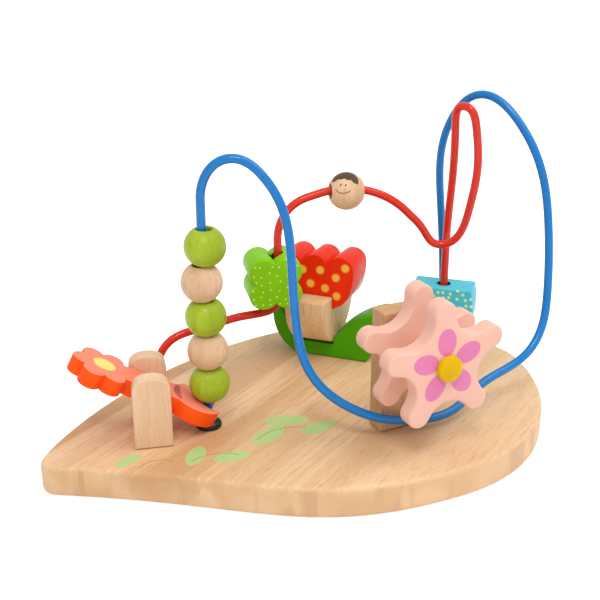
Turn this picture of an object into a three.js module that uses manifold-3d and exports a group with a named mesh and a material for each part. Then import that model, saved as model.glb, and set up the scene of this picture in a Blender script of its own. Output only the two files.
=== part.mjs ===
// Wooden toddler activity centre: a leaf-shaped board that carries a flower seesaw under a stack of beads,
// two bent bead wires, a rocking tulip in a leaf cradle and a pair of spinning flowers.
// Millimetres, +Z up. Origin: on the board's underside, midway between the leaf's tip and its round end.
// +X runs from the tip to the round end, +Y to the back.
import * as THREE from 'three';
import { mergeVertices } from 'three/addons/utils/BufferGeometryUtils.js';
import Module from 'manifold-3d';

const wasm = await Module();
wasm.setup();

// Clearances
const GLUE_GAP = 0.3;
const RUNNING_GAP = 0.4;

// Board: a leaf, fuller on its front side; each side leaves the tip at its own angle
const BOARD_LENGTH = 308;
const BOARD_FRONT_REACH = 106.5;
const BOARD_BACK_REACH = 99;
const BOARD_THICKNESS = 18;
const BOARD_WIDEST_FROM_TIP = 197;
const BOARD_TIP_RADIUS = 9;
const BOARD_TIP_OFFSET = 3.5;
const BOARD_EDGE_ROUND = 3;
const TIP_FRONT_ANGLE = 30.7;
const TIP_BACK_ANGLE = 64;
const TIP_FRONT_FULLNESS = 0.57;
const TIP_BACK_FULLNESS = 0.073;
const FRONT_SHOULDER_FULLNESS = 0.46;
const BACK_SHOULDER_FULLNESS = 0.554;
const END_FULLNESS = 0.77;
const END_ROUNDNESS = 0.19;

// Screws that hold the blocks from below
const SCREW_RADIUS = 1.8;
const SCREW_HEAD_RADIUS = 4;
const SCREW_HEAD_HEIGHT = 3;
const SCREW_RECESS = 1;
const SCREW_REACH = 14;

// Wires and their collars
const WIRE_RADIUS = 2.5;
const WIRE_EMBED = 9;
const COLLAR_RADIUS = 7.4;
const COLLAR_HEIGHT = 4.6;
const COLLAR_SHANK_RADIUS = 4.2;

// Seesaw: the plank's pivot on the board, its heading, and its tilt with the fork down
const SEESAW_X = -90.6;
const SEESAW_Y = 2.5;
const SEESAW_HEADING = -14;
const SEESAW_TILT = 28;
const SEESAW_PIVOT_HEIGHT = 26.2;
const SEESAW_WIRE_REACH = 31.8;
const PLANK_THICKNESS = 9.5;
const PLANK_WIDTH = 18.4;
const PLANK_EDGE_ROUND = 0.8;
const PLANK_FLOWER_REACH = 28.6;
const PLANK_LOBES = 6;
const PLANK_LOBE_RADIUS = 6.4;
const PLANK_LOBE_REACH = 11.4;
const PADDLE_RADIUS = 15;
const PADDLE_REACH = 26.5;
const FORK_WIDTH = 14.4;
const FORK_WIRE_ROOM = 3.6;
const POST_WIDTH = 20.6;
const POST_THICKNESS = 9.5;
const POST_HEIGHT = 41.5;
const POST_TOP_RADIUS = 8;
const POST_EDGE_ROUND = 1.2;
const POST_SIDE_GAP = 0.6;
const SEESAW_PIN_RADIUS = 2;
const SEESAW_PIN_EMBED = 6;

// Round beads
const BEAD_RADIUS = 11.3;
const BEAD_BORE_RADIUS = 4.4;
const BEAD_RIM_RADIUS = 5.6;
const BEAD_COUNT = 5;
const BEAD_LIFT_OFF = 26.9;
const BEAD_SHIFTS = [1.5, -0.9, 0.6, 1.0, 1.4];

// Blue wire: its straight front riser and the round bend at its top
const BLUE_RISER_HEIGHT = 139;
const BLUE_BEND_RADIUS = 17;
const BLUE_BEND_HEADING = -28;

// Blue wire, further on: its descent from the front foot, its low sweep past the flower post by a clear
// room, and its rear arch from the rear foot; each place is given from that foot or post, with its height
const BLUE_DESCENT = [
  [29.8, -16.7, 143], [37.5, -21.7, 125.4], [39.8, -26.1, 95.7], [40.5, -30.6, 63], [44.5, -35.9, 41.6],
  [57.4, -45.2, 24.3],
];
const BLUE_POST_ROOM = 3.5;
const BLUE_SWEEP = [[-22.6, 0, 14.8], [0, 0, 7.5], [25, -1, 7], [53.2, 6, 16.5]];
const BLUE_REAR_ARCH = [
  [-4.9, -95.9, 27.8], [7, -93, 40.4], [15.2, -85.8, 61.2], [22.6, -72.4, 96.5], [16.8, -52.8, 147],
  [3.1, -22.8, 166.8], [-5.8, -1.8, 145], [-4.9, 0.9, 96],
];
const BLUE_REAR_STRAIGHT = 24;

// Red wire: its front foot, the straight stretch through the clover and the round arch behind it
const RED_FOOT_X = -71;
const RED_FOOT_Y = 48;
const RED_FRONT_STRAIGHT = 16;
const RED_FRONT_RUN = [[8, 0, 31], [27, -2, 36.6], [52, -5.4, 41]];
const CLOVER_X = 5.4;
const CLOVER_Y = 41.8;
const CLOVER_HEIGHT = 63;
const CLOVER_RISE = 87;
const CLOVER_SIDE_SHIFT = 3.4;
const CLOVER_BORE_OFFSET = 2.2;
const CLOVER_BEND_DROP = 13.5;
const CLOVER_BEND_RADIUS = 8;
const RED_ARCH_HEADING = -14.8;
const RED_ARCH_RADIUS = 55.4;
const RED_ARCH_AHEAD = 40.4;
const RED_ARCH_CENTRE_HEIGHT = 60.5;
const RED_ARCH_ENTRY_RISE = 1;
const HEAD_BEAD_ANGLE = 1.5;
const HEAD_BEAD_HANG = 1.4;

// Rear feet of the two wires, from the board's round end, and the red wire's narrow loop from its rear foot
const RED_REAR_FROM_END = 37.1;
const RED_REAR_Y = 27.5;
const BLUE_REAR_FROM_END = 27.8;
const BLUE_REAR_Y = 42;
const RED_LOOP_DIP = [-11.6, -12.3, 75.9];
const RED_LOOP_RISE = [[-0.5, -23, 106.8], [1.7, -21.7, 144.3]];
const RED_LOOP_TOP = [-3.3, -15.9, 162.4];
const RED_LOOP_FALL = [-3.6, -7.4, 143.7];
const RED_REAR_STRAIGHT = 74;

// Clover bead and pot bead
const SHAPED_BORE_RADIUS = 4.3;
const CLOVER_LOBES = 4;
const CLOVER_LOBE_RADIUS = 9;
const CLOVER_LOBE_REACH = 9.9;
const CLOVER_DEPTH = 26;
const CLOVER_HEADING = -13.6;
const SHAPED_EDGE_ROUND = 1.5;
const POT_TOP_WIDTH = 38;
const POT_BELLY_WIDTH = 41;
const POT_FOOT_WIDTH = 25;
const POT_HEIGHT = 40;
const POT_BELLY_DROP = 12;
const POT_DEPTH = 20;
const POT_HEADING = -43;

// Spinning flowers on their post
const FLOWER_POST_X = 38.2;
const FLOWER_POST_FRONT_Y = -55;
const FLOWER_POST_WIDTH = 31;
const FLOWER_POST_DEPTH = 13;
const FLOWER_POST_HEIGHT = 71.5;
const FLOWER_POST_ROUND = 1.5;
const FLOWER_AXLE_HEIGHT = 54;
const FLOWER_AXLE_RADIUS = 3.5;
const FLOWER_AXLE_EMBED = 9;
const FLOWER_THICKNESS = 10;
const FLOWER_EDGE_ROUND = 1.5;
const FLOWER_PETALS = 5;
const PETAL_REACH = 36.2;
const PETAL_TIP_RADIUS = 6.4;
const PETAL_VALLEY_REACH = 20.3;
const FRONT_FLOWER_TURN = 5;
const FLOWER_REAR_SPACER = 2.8;
const FLOWER_MIDDLE_SPACER = 14.4;
const FLOWER_SPACER_RADIUS = 8;
const HUB_RADIUS = 7;
const HUB_HEIGHT = 3.6;
const HUB_EMBED = 2;
const HUB_EDGE = 1;

// Tulip on its rocker in the leaf cradle
const TULIP_X = 43.2;
const TULIP_Y = 59.6;
const TULIP_HEADING = -46;
const TULIP_LEAN = 4;
const TULIP_BACK_ROCK = 5;
const TULIP_FRONT_ROCK = 9;
const ROCKER_PIN_HEIGHT = 12.5;
const ROCKER_PIN_RADIUS = 2;
const ROCKER_PIN_EMBED = 8;
const ROCKER_RADIUS = 33;
const ROCKER_CENTRE_ABOVE_PIN = 29.5;
const ROCKER_WIDTH = 25;
const ROCKER_EDGE_ROUND = 1.2;
const TULIP_DEPTH = 30;
const TULIP_HEIGHT = 26;
const TULIP_LAP = 8;
const TULIP_LOBE_RADIUS = 8.7;
const TULIP_LOBE_LAP = 0.4;
const TULIP_CUP_FLARE = 3;
const TULIP_EDGE_ROUND = 1.2;
const TULIP_DOWEL_RADIUS = 3;
const TULIP_DOWEL_HALF = 8;
const CRADLE_DEPTH = 20;
const CRADLE_EDGE_ROUND = 1.5;
const CRADLE_FOOT_LEFT = -12;
const CRADLE_FOOT_RIGHT = 35;
const CRADLE_NOTCH_HEIGHT = 13;
const CRADLE_LEFT_HORN = [-27, 37];
const CRADLE_RIGHT_HORN = [44, 35];
const CRADLE_HORN_LEAN = 2;
const CRADLE_HOLLOW = 12;
const CRADLE_SCREW_SPREAD = 20;
const CRADLE_SCREW_REACH = 6;

const BOARD_TOP = BOARD_THICKNESS;
const RADIANS = Math.PI / 180;

// Finishes
const finish = (color, roughness) => new THREE.MeshStandardMaterial({ color, roughness, metalness: 0 });
const NATURAL = finish(0xe0bd92, 0.6);
const ORANGE = finish(0xf2631f, 0.5);
const GREEN_STAIN = finish(0xa3bd2c, 0.5);
const CLOVER_GREEN = finish(0x7cc31a, 0.5);
const LEAF_GREEN = finish(0x418a06, 0.55);
const RED = finish(0xdd3018, 0.5);
const PINK = finish(0xf7c4b2, 0.55);
const YELLOW = finish(0xe8c313, 0.5);
const TURQUOISE = finish(0x4fc0cf, 0.5);
const BLUE_WIRE = finish(0x2a86d6, 0.3);
const RED_WIRE = finish(0xdd3f28, 0.3);
const BLACK_PLASTIC = finish(0x141414, 0.3);
const STEEL = new THREE.MeshStandardMaterial({ color: 0x9a9a98, roughness: 0.4, metalness: 1 });

// Solids

/** Turns a closed geometry into a solid that can be cut and joined. */
function solidOf(geometry) {
  const bare = geometry.clone();
  bare.deleteAttribute('normal');
  bare.deleteAttribute('uv');
  const merged = mergeVertices(bare, 1e-4);
  return new wasm.Manifold(new wasm.Mesh({
    numProp: 3,
    vertProperties: new Float32Array(merged.attributes.position.array),
    triVerts: new Uint32Array(merged.index.array),
  }));
}

/** Gives a solid back as a geometry. */
function geometryOf(solid) {
  const mesh = solid.getMesh();
  const geometry = new THREE.BufferGeometry();
  geometry.setAttribute('position', new THREE.BufferAttribute(mesh.vertProperties, 3));
  geometry.setIndex(new THREE.BufferAttribute(mesh.triVerts, 1));
  geometry.computeVertexNormals();
  return geometry;
}

/** Cuts every tool out of a body. */
function cut(body, ...tools) {
  return geometryOf(tools.reduce((rest, tool) => rest.subtract(solidOf(tool)), solidOf(body)));
}

/** A flat outline made into a slab of the given thickness, standing on z = 0, with rounded edges. */
function slab(shape, thickness, round, curveSegments = 10, roundSteps = 2) {
  const geometry = new THREE.ExtrudeGeometry(shape, {
    depth: thickness - 2 * round,
    bevelEnabled: true,
    bevelThickness: round,
    bevelSize: round,
    bevelOffset: -round,
    bevelSegments: roundSteps,
    curveSegments,
  });
  return geometry.translate(0, 0, round);
}

/** A slab whose outline stands upright in the XZ plane, its thickness centred on y = 0. */
function upright(shape, thickness, round, curveSegments, roundSteps) {
  return slab(shape, thickness, round, curveSegments, roundSteps)
    .translate(0, 0, -thickness / 2)
    .rotateX(Math.PI / 2);
}

/** A round rod along Z from z0 to z1. */
function rod(radius, z0, z1, sides = 20) {
  return new THREE.CylinderGeometry(radius, radius, z1 - z0, sides)
    .rotateX(Math.PI / 2)
    .translate(0, 0, (z0 + z1) / 2);
}

/** A rod along X or Y, between two places on that axis. */
const rodAlongX = (radius, x0, x1, sides) => rod(radius, x0, x1, sides).rotateY(Math.PI / 2);
const rodAlongY = (radius, y0, y1, sides) => rod(radius, y0, y1, sides).rotateX(-Math.PI / 2);

/** A piece turned about Z from a half profile of [radius, height] pairs. */
function turned(profile, segments = 22) {
  return new THREE.LatheGeometry(profile.map(([r, z]) => new THREE.Vector2(r, z)), segments)
    .rotateX(Math.PI / 2);
}

/** A flower outline of round lobes that meet in sharp valleys; the first lobe points at the start angle. */
function rosette(lobes, lobeRadius, lobeReach, start) {
  const step = (2 * Math.PI) / lobes;
  const valley = lobeReach * Math.cos(step / 2)
    + Math.sqrt(lobeRadius ** 2 - (lobeReach * Math.sin(step / 2)) ** 2);
  const spread = Math.atan2(valley * Math.sin(step / 2), valley * Math.cos(step / 2) - lobeReach);
  const shape = new THREE.Shape();
  for (let i = 0; i < lobes; i += 1) {
    const heading = start + i * step;
    shape.absarc(lobeReach * Math.cos(heading), lobeReach * Math.sin(heading), lobeRadius,
      heading - spread, heading + spread, false);
  }
  return shape;
}

const root = new THREE.Group();

/** Adds a named piece to a group. */
function piece(parent, name, geometry, material) {
  const mesh = new THREE.Mesh(geometry, material);
  mesh.name = name;
  parent.add(mesh);
  return mesh;
}

/** A group that stands on the board, turned about the vertical. */
function station(x, y, heading) {
  const group = new THREE.Group();
  group.position.set(x, y, BOARD_TOP);
  group.rotation.z = heading * RADIANS;
  root.add(group);
  return group;
}

/** The board place of a point given in a station's own plan. */
function planPoint(x, y, heading, alongX, alongY) {
  const turn = heading * RADIANS;
  return [
    x + alongX * Math.cos(turn) - alongY * Math.sin(turn),
    y + alongX * Math.sin(turn) + alongY * Math.cos(turn),
  ];
}

// Screws from below: each enters a block by its reach

/** The room that a screw takes in the block above the board. */
function screwPilot(x, y, reach) {
  return rod(SCREW_RADIUS + RUNNING_GAP, -1, reach + RUNNING_GAP, 10).translate(x, y, 0);
}

/** Adds a screw and gives back the cuts that it needs in the board. */
function screw(name, [x, y], reach) {
  const headLow = SCREW_RECESS;
  const headTop = SCREW_RECESS + SCREW_HEAD_HEIGHT;
  const profile = [
    [0, headLow], [SCREW_HEAD_RADIUS, headLow], [SCREW_RADIUS, headTop],
    [SCREW_RADIUS, BOARD_TOP + reach - SCREW_RADIUS], [0, BOARD_TOP + reach],
  ];
  piece(root, name, turned(profile, 10).translate(x, y, 0), STEEL);
  const hole = rod(SCREW_RADIUS + GLUE_GAP, -1, BOARD_TOP + 1, 10).translate(x, y, 0);
  const recess = rod(SCREW_HEAD_RADIUS + GLUE_GAP, -1, headTop + GLUE_GAP, 10).translate(x, y, 0);
  return [hole, recess];
}

// Wires

/** A smooth bent wire through stations of [place, heading], with cubic pieces between them. */
function wirePath(stations) {
  const places = stations.map(([place]) => new THREE.Vector3(...place));
  const headings = stations.map(([, heading], i) => {
    if (heading) return new THREE.Vector3(...heading).normalize();
    const before = places[i].clone().sub(places[i - 1]);
    const after = places[i + 1].clone().sub(places[i]);
    return before.divideScalar(before.lengthSq()).add(after.divideScalar(after.lengthSq())).normalize();
  });
  const path = new THREE.CurvePath();
  for (let i = 1; i < places.length; i += 1) {
    const chord = places[i].distanceTo(places[i - 1]);
    const reach = chord / (3 * Math.cos(headings[i].angleTo(headings[i - 1]) / 4) ** 2);
    path.add(new THREE.CubicBezierCurve3(
      places[i - 1],
      places[i - 1].clone().addScaledVector(headings[i - 1], reach),
      places[i].clone().addScaledVector(headings[i], -reach),
      places[i],
    ));
  }
  return path;
}

/** A round wire along a path. */
function wire(stations, steps) {
  const section = new THREE.Shape().absarc(0, 0, WIRE_RADIUS, 0, 2 * Math.PI, false);
  return new THREE.ExtrudeGeometry(section, {
    steps, curveSegments: 4, bevelEnabled: false, extrudePath: wirePath(stations),
  });
}

/** Free stations at places given from a foot or a post. */
function route(x, y, places) {
  return places.map(([alongX, alongY, height]) => [[x + alongX, y + alongY, height]]);
}

const UP = [0, 0, 1];
const DOWN = [0, 0, -1];
const blueRearX = BOARD_LENGTH / 2 - BLUE_REAR_FROM_END;
const redRearX = BOARD_LENGTH / 2 - RED_REAR_FROM_END;

const [blueFootX, blueFootY] = planPoint(SEESAW_X, SEESAW_Y, SEESAW_HEADING, SEESAW_WIRE_REACH, 0);
const blueBend = [Math.cos(BLUE_BEND_HEADING * RADIANS), Math.sin(BLUE_BEND_HEADING * RADIANS)];
const postPassY = FLOWER_POST_FRONT_Y - WIRE_RADIUS - BLUE_POST_ROOM;
const blueStations = [
  [[blueFootX, blueFootY, -WIRE_EMBED], UP],
  [[blueFootX, blueFootY, BLUE_RISER_HEIGHT], UP],
  [[blueFootX + blueBend[0] * BLUE_BEND_RADIUS, blueFootY + blueBend[1] * BLUE_BEND_RADIUS,
    BLUE_RISER_HEIGHT + BLUE_BEND_RADIUS], [blueBend[0], blueBend[1], 0]],
  ...route(blueFootX, blueFootY, BLUE_DESCENT),
  ...route(FLOWER_POST_X, postPassY, BLUE_SWEEP),
  ...route(blueRearX, BLUE_REAR_Y, BLUE_REAR_ARCH),
  [[blueRearX, BLUE_REAR_Y, BLUE_REAR_STRAIGHT], DOWN],
  [[blueRearX, BLUE_REAR_Y, -WIRE_EMBED], DOWN],
];

const archTurn = RED_ARCH_HEADING * RADIANS;

/** A station on the red arch, at an angle from its crown, outside its circle by the rise. */
function archStation(degrees, rise = 0) {
  const angle = degrees * RADIANS;
  const radius = RED_ARCH_RADIUS + rise;
  const ahead = RED_ARCH_AHEAD + radius * Math.sin(angle);
  const place = [
    CLOVER_X + ahead * Math.cos(archTurn),
    CLOVER_Y + ahead * Math.sin(archTurn),
    RED_ARCH_CENTRE_HEIGHT + radius * Math.cos(angle),
  ];
  const heading = [
    Math.cos(angle) * Math.cos(archTurn), Math.cos(angle) * Math.sin(archTurn), -Math.sin(angle),
  ];
  return [place, heading];
}

const cloverBendTop = CLOVER_HEIGHT - CLOVER_BEND_DROP;
const [[loopDip]] = route(redRearX, RED_REAR_Y, [RED_LOOP_DIP]);
const [[loopTop]] = route(redRearX, RED_REAR_Y, [RED_LOOP_TOP]);
const redStations = [
  [[RED_FOOT_X, RED_FOOT_Y, -WIRE_EMBED], UP],
  [[RED_FOOT_X, RED_FOOT_Y, RED_FRONT_STRAIGHT], UP],
  ...route(RED_FOOT_X, RED_FOOT_Y, RED_FRONT_RUN),
  [[CLOVER_X - CLOVER_BEND_RADIUS, CLOVER_Y, cloverBendTop - CLOVER_BEND_RADIUS], [1, 0, 0.1]],
  [[CLOVER_X, CLOVER_Y, cloverBendTop], UP],
  [[CLOVER_X, CLOVER_Y, CLOVER_RISE], UP],
  archStation(-30, RED_ARCH_ENTRY_RISE),
  archStation(-16),
  archStation(8),
  archStation(32),
  archStation(60),
  [loopDip, [0.85, -0.5, 0]],
  ...route(redRearX, RED_REAR_Y, RED_LOOP_RISE),
  [loopTop, [-0.3, 0.95, 0]],
  ...route(redRearX, RED_REAR_Y, [RED_LOOP_FALL]),
  [[redRearX, RED_REAR_Y, RED_REAR_STRAIGHT], DOWN],
  [[redRearX, RED_REAR_Y, -WIRE_EMBED], DOWN],
];

const wires = station(0, 0, 0);
piece(wires, 'blue_wire', wire(blueStations, 104), BLUE_WIRE);
piece(wires, 'red_wire', wire(redStations, 96), RED_WIRE);

const collarBore = WIRE_RADIUS + GLUE_GAP;
const collarProfile = [
  [collarBore, -WIRE_EMBED], [COLLAR_SHANK_RADIUS, -WIRE_EMBED], [COLLAR_SHANK_RADIUS, GLUE_GAP],
  [COLLAR_RADIUS, GLUE_GAP], [COLLAR_RADIUS * 0.97, COLLAR_HEIGHT * 0.3],
  [COLLAR_RADIUS * 0.86, COLLAR_HEIGHT * 0.58], [COLLAR_RADIUS * 0.66, COLLAR_HEIGHT * 0.84],
  [collarBore, COLLAR_HEIGHT], [collarBore, -WIRE_EMBED],
];
const feet = {
  collar_blue_front: [blueFootX, blueFootY],
  collar_blue_rear: [blueRearX, BLUE_REAR_Y],
  collar_red_front: [RED_FOOT_X, RED_FOOT_Y],
  collar_red_rear: [redRearX, RED_REAR_Y],
};
const boardCuts = [];
for (const [name, [x, y]] of Object.entries(feet)) {
  piece(wires, name, turned(collarProfile, 16).translate(x, y, 0), BLACK_PLASTIC);
  const socketLow = BOARD_TOP - WIRE_EMBED - GLUE_GAP;
  boardCuts.push(rod(COLLAR_SHANK_RADIUS + GLUE_GAP, socketLow, BOARD_TOP + 1, 16).translate(x, y, 0));
}

// Seesaw

const seesaw = station(SEESAW_X, SEESAW_Y, SEESAW_HEADING);
const postInner = PLANK_WIDTH / 2 + POST_SIDE_GAP;

/** Adds one post on its side of the plank and gives back its place on the board. */
function seesawPost(name, side) {
  const half = POST_WIDTH / 2;
  const shoulder = POST_HEIGHT - POST_TOP_RADIUS;
  const outline = new THREE.Shape()
    .moveTo(-half, GLUE_GAP)
    .lineTo(half, GLUE_GAP)
    .lineTo(half, shoulder)
    .bezierCurveTo(half, shoulder + POST_TOP_RADIUS * 0.8, half * 0.5, POST_HEIGHT, 0, POST_HEIGHT)
    .bezierCurveTo(-half * 0.5, POST_HEIGHT, -half, shoulder + POST_TOP_RADIUS * 0.8, -half, shoulder);
  const middle = side * (postInner + POST_THICKNESS / 2);
  const body = upright(outline, POST_THICKNESS, POST_EDGE_ROUND, 8).translate(0, middle, 0);
  const bearing = rodAlongY(SEESAW_PIN_RADIUS + GLUE_GAP, -postInner - SEESAW_PIN_EMBED - GLUE_GAP,
    postInner + SEESAW_PIN_EMBED + GLUE_GAP, 14).translate(0, 0, SEESAW_PIVOT_HEIGHT);
  piece(seesaw, name, cut(body, bearing, screwPilot(0, middle, SCREW_REACH)), NATURAL);
  return planPoint(SEESAW_X, SEESAW_Y, SEESAW_HEADING, 0, middle);
}

const frontPostPlan = seesawPost('seesaw_post_front', -1);
const rearPostPlan = seesawPost('seesaw_post_rear', 1);
boardCuts.push(...screw('screw_seesaw_front', frontPostPlan, SCREW_REACH));
boardCuts.push(...screw('screw_seesaw_rear', rearPostPlan, SCREW_REACH));

const pinHalf = postInner + SEESAW_PIN_EMBED;
piece(seesaw, 'seesaw_pin', rodAlongY(SEESAW_PIN_RADIUS, -pinHalf, pinHalf, 14), STEEL)
  .position.z = SEESAW_PIVOT_HEIGHT;

/** The plank from above: a flower at one end, a neck between the posts and a round forked paddle. */
function seesawPlank() {
  const half = PLANK_WIDTH / 2;
  const neckStart = -PLANK_FLOWER_REACH + PLANK_LOBE_REACH * 0.6;
  const neckEnd = PADDLE_REACH - PADDLE_RADIUS * 0.6;
  const flower = slab(rosette(PLANK_LOBES, PLANK_LOBE_RADIUS, PLANK_LOBE_REACH, 0),
    PLANK_THICKNESS, PLANK_EDGE_ROUND, 4).translate(-PLANK_FLOWER_REACH, 0, 0);
  const neckOutline = new THREE.Shape()
    .moveTo(neckStart, -half * 0.82)
    .quadraticCurveTo(-PLANK_FLOWER_REACH * 0.4, -half, -half, -half)
    .lineTo(neckEnd, -half)
    .lineTo(neckEnd, half)
    .lineTo(-half, half)
    .quadraticCurveTo(-PLANK_FLOWER_REACH * 0.4, half, neckStart, half * 0.82);
  const neck = slab(neckOutline, PLANK_THICKNESS, PLANK_EDGE_ROUND, 3);
  const paddleOutline = new THREE.Shape().absarc(PADDLE_REACH, 0, PADDLE_RADIUS, 0, 2 * Math.PI, false);
  const paddle = slab(paddleOutline, PLANK_THICKNESS, PLANK_EDGE_ROUND, 12);
  const forkRoot = SEESAW_WIRE_REACH - FORK_WIRE_ROOM + FORK_WIDTH / 2;
  const forkOutline = new THREE.Shape()
    .moveTo(forkRoot, -FORK_WIDTH / 2)
    .lineTo(PADDLE_REACH + PADDLE_RADIUS + 1, -FORK_WIDTH / 2)
    .lineTo(PADDLE_REACH + PADDLE_RADIUS + 1, FORK_WIDTH / 2)
    .lineTo(forkRoot, FORK_WIDTH / 2)
    .absarc(forkRoot, 0, FORK_WIDTH / 2, Math.PI / 2, (3 * Math.PI) / 2, false);
  const fork = new THREE.ExtrudeGeometry(forkOutline, {
    depth: PLANK_THICKNESS + 2, bevelEnabled: false, curveSegments: 8,
  }).translate(0, 0, -1);
  const bearing = rodAlongY(SEESAW_PIN_RADIUS + RUNNING_GAP, -half - 1, half + 1, 14)
    .translate(0, 0, PLANK_THICKNESS / 2);
  const blank = geometryOf(solidOf(flower).add(solidOf(neck)).add(solidOf(paddle)));
  return cut(blank, fork, bearing).translate(0, 0, -PLANK_THICKNESS / 2);
}

const plank = piece(seesaw, 'seesaw_plank', seesawPlank(), ORANGE);
plank.position.z = SEESAW_PIVOT_HEIGHT;
plank.rotation.y = SEESAW_TILT * RADIANS;

// Round beads

const beadHalf = Math.sqrt(BEAD_RADIUS ** 2 - BEAD_RIM_RADIUS ** 2);

/** A round bead with a bore along Z and rims eased into flats. */
function roundBead() {
  const rim = Math.asin(beadHalf / BEAD_RADIUS);
  const steps = 8;
  const profile = [[BEAD_BORE_RADIUS, -beadHalf]];
  for (let i = 0; i <= steps; i += 1) {
    const angle = -rim + (2 * rim * i) / steps;
    profile.push([BEAD_RADIUS * Math.cos(angle), BEAD_RADIUS * Math.sin(angle)]);
  }
  profile.push([BEAD_BORE_RADIUS, beadHalf], [BEAD_BORE_RADIUS, -beadHalf]);
  return turned(profile, 18);
}

const stack = station(blueFootX, blueFootY, SEESAW_HEADING);
for (let i = 1; i <= BEAD_COUNT; i += 1) {
  const stained = i % 2 === 1;
  const name = `bead_${i}_${stained ? 'green' : 'natural'}`;
  const level = BEAD_LIFT_OFF + (BEAD_COUNT - i) * (2 * beadHalf + GLUE_GAP);
  const bead = piece(stack, name, roundBead(), stained ? GREEN_STAIN : NATURAL);
  bead.position.set(BEAD_SHIFTS[i - 1], 0, level);
}

const [headPlace] = archStation(HEAD_BEAD_ANGLE, -HEAD_BEAD_HANG);
const headBead = piece(wires, 'head_bead', roundBead().rotateY(Math.PI / 2), NATURAL);
headBead.position.set(...headPlace);
headBead.rotation.set(0, HEAD_BEAD_ANGLE * RADIANS, archTurn, 'ZYX');

// Clover bead and pot bead

const clover = station(CLOVER_X, CLOVER_Y, CLOVER_HEADING);
const cloverShape = rosette(CLOVER_LOBES, CLOVER_LOBE_RADIUS, CLOVER_LOBE_REACH, Math.PI / 4);
const cloverBlock = upright(cloverShape, CLOVER_DEPTH, SHAPED_EDGE_ROUND, 4);
const cloverSpan = CLOVER_LOBE_RADIUS + CLOVER_LOBE_REACH;
const cloverBore = rod(SHAPED_BORE_RADIUS, -cloverSpan, cloverSpan, 16).translate(CLOVER_BORE_OFFSET, 0, 0);
piece(clover, 'clover_bead', cut(cloverBlock, cloverBore), CLOVER_GREEN)
  .position.set(-CLOVER_SIDE_SHIFT, 0, CLOVER_HEIGHT);

const pot = station(redRearX, RED_REAR_Y, POT_HEADING);
const potShape = new THREE.Shape()
  .moveTo(-POT_FOOT_WIDTH / 2, 0)
  .lineTo(POT_FOOT_WIDTH / 2, 0)
  .quadraticCurveTo(POT_BELLY_WIDTH / 2, POT_HEIGHT * 0.3, POT_BELLY_WIDTH / 2, POT_HEIGHT - POT_BELLY_DROP)
  .quadraticCurveTo(POT_BELLY_WIDTH / 2, POT_HEIGHT - POT_BELLY_DROP / 2, POT_TOP_WIDTH / 2, POT_HEIGHT)
  .lineTo(-POT_TOP_WIDTH / 2, POT_HEIGHT)
  .quadraticCurveTo(-POT_BELLY_WIDTH / 2, POT_HEIGHT - POT_BELLY_DROP / 2,
    -POT_BELLY_WIDTH / 2, POT_HEIGHT - POT_BELLY_DROP)
  .quadraticCurveTo(-POT_BELLY_WIDTH / 2, POT_HEIGHT * 0.3, -POT_FOOT_WIDTH / 2, 0);
const potBlock = upright(potShape, POT_DEPTH, SHAPED_EDGE_ROUND, 6);
const potBore = rod(SHAPED_BORE_RADIUS, -1, POT_HEIGHT + 1, 16);
piece(pot, 'pot_bead', cut(potBlock, potBore), TURQUOISE).position.z = COLLAR_HEIGHT + GLUE_GAP;

// Spinning flowers

const flowers = station(FLOWER_POST_X, FLOWER_POST_FRONT_Y, 0);
const postShape = new THREE.Shape()
  .moveTo(-FLOWER_POST_WIDTH / 2, GLUE_GAP)
  .lineTo(FLOWER_POST_WIDTH / 2, GLUE_GAP)
  .lineTo(FLOWER_POST_WIDTH / 2, FLOWER_POST_HEIGHT)
  .lineTo(-FLOWER_POST_WIDTH / 2, FLOWER_POST_HEIGHT);
const postBlock = upright(postShape, FLOWER_POST_DEPTH, FLOWER_POST_ROUND, 1, 3)
  .translate(0, FLOWER_POST_DEPTH / 2, 0);
const axleSocket = rodAlongY(FLOWER_AXLE_RADIUS + GLUE_GAP, -1, FLOWER_AXLE_EMBED + GLUE_GAP, 16)
  .translate(0, 0, FLOWER_AXLE_HEIGHT);
const postScrews = { screw_flower_left: -FLOWER_POST_WIDTH / 4, screw_flower_right: FLOWER_POST_WIDTH / 4 };
const postMiddle = FLOWER_POST_DEPTH / 2;
const postPilots = [];
for (const [name, x] of Object.entries(postScrews)) {
  postPilots.push(screwPilot(x, postMiddle, SCREW_REACH));
  boardCuts.push(...screw(name, [FLOWER_POST_X + x, FLOWER_POST_FRONT_Y + postMiddle], SCREW_REACH));
}
piece(flowers, 'flower_post', cut(postBlock, axleSocket, ...postPilots), NATURAL);

/** A flower of long round petals with hollow valleys between them; one petal points up. */
function petalShape() {
  const half = Math.PI / FLOWER_PETALS;
  const tipReach = PETAL_REACH - PETAL_TIP_RADIUS;
  const valleyRadius = (tipReach ** 2 + PETAL_VALLEY_REACH ** 2 - PETAL_TIP_RADIUS ** 2
    - 2 * tipReach * PETAL_VALLEY_REACH * Math.cos(half))
    / (2 * (PETAL_TIP_RADIUS + tipReach * Math.cos(half) - PETAL_VALLEY_REACH));
  const valleyReach = PETAL_VALLEY_REACH + valleyRadius;
  const towardsValley = Math.atan2(valleyReach * Math.sin(half), valleyReach * Math.cos(half) - tipReach);
  const shape = new THREE.Shape();
  for (let i = 0; i < FLOWER_PETALS; i += 1) {
    const petal = Math.PI / 2 + 2 * half * i;
    const valley = petal + half;
    shape.absarc(tipReach * Math.cos(petal), tipReach * Math.sin(petal), PETAL_TIP_RADIUS,
      petal - towardsValley, petal + towardsValley, false);
    shape.absarc(valleyReach * Math.cos(valley), valleyReach * Math.sin(valley), valleyRadius,
      petal + towardsValley + Math.PI, valley + half - towardsValley + Math.PI, true);
  }
  return shape;
}

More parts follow.
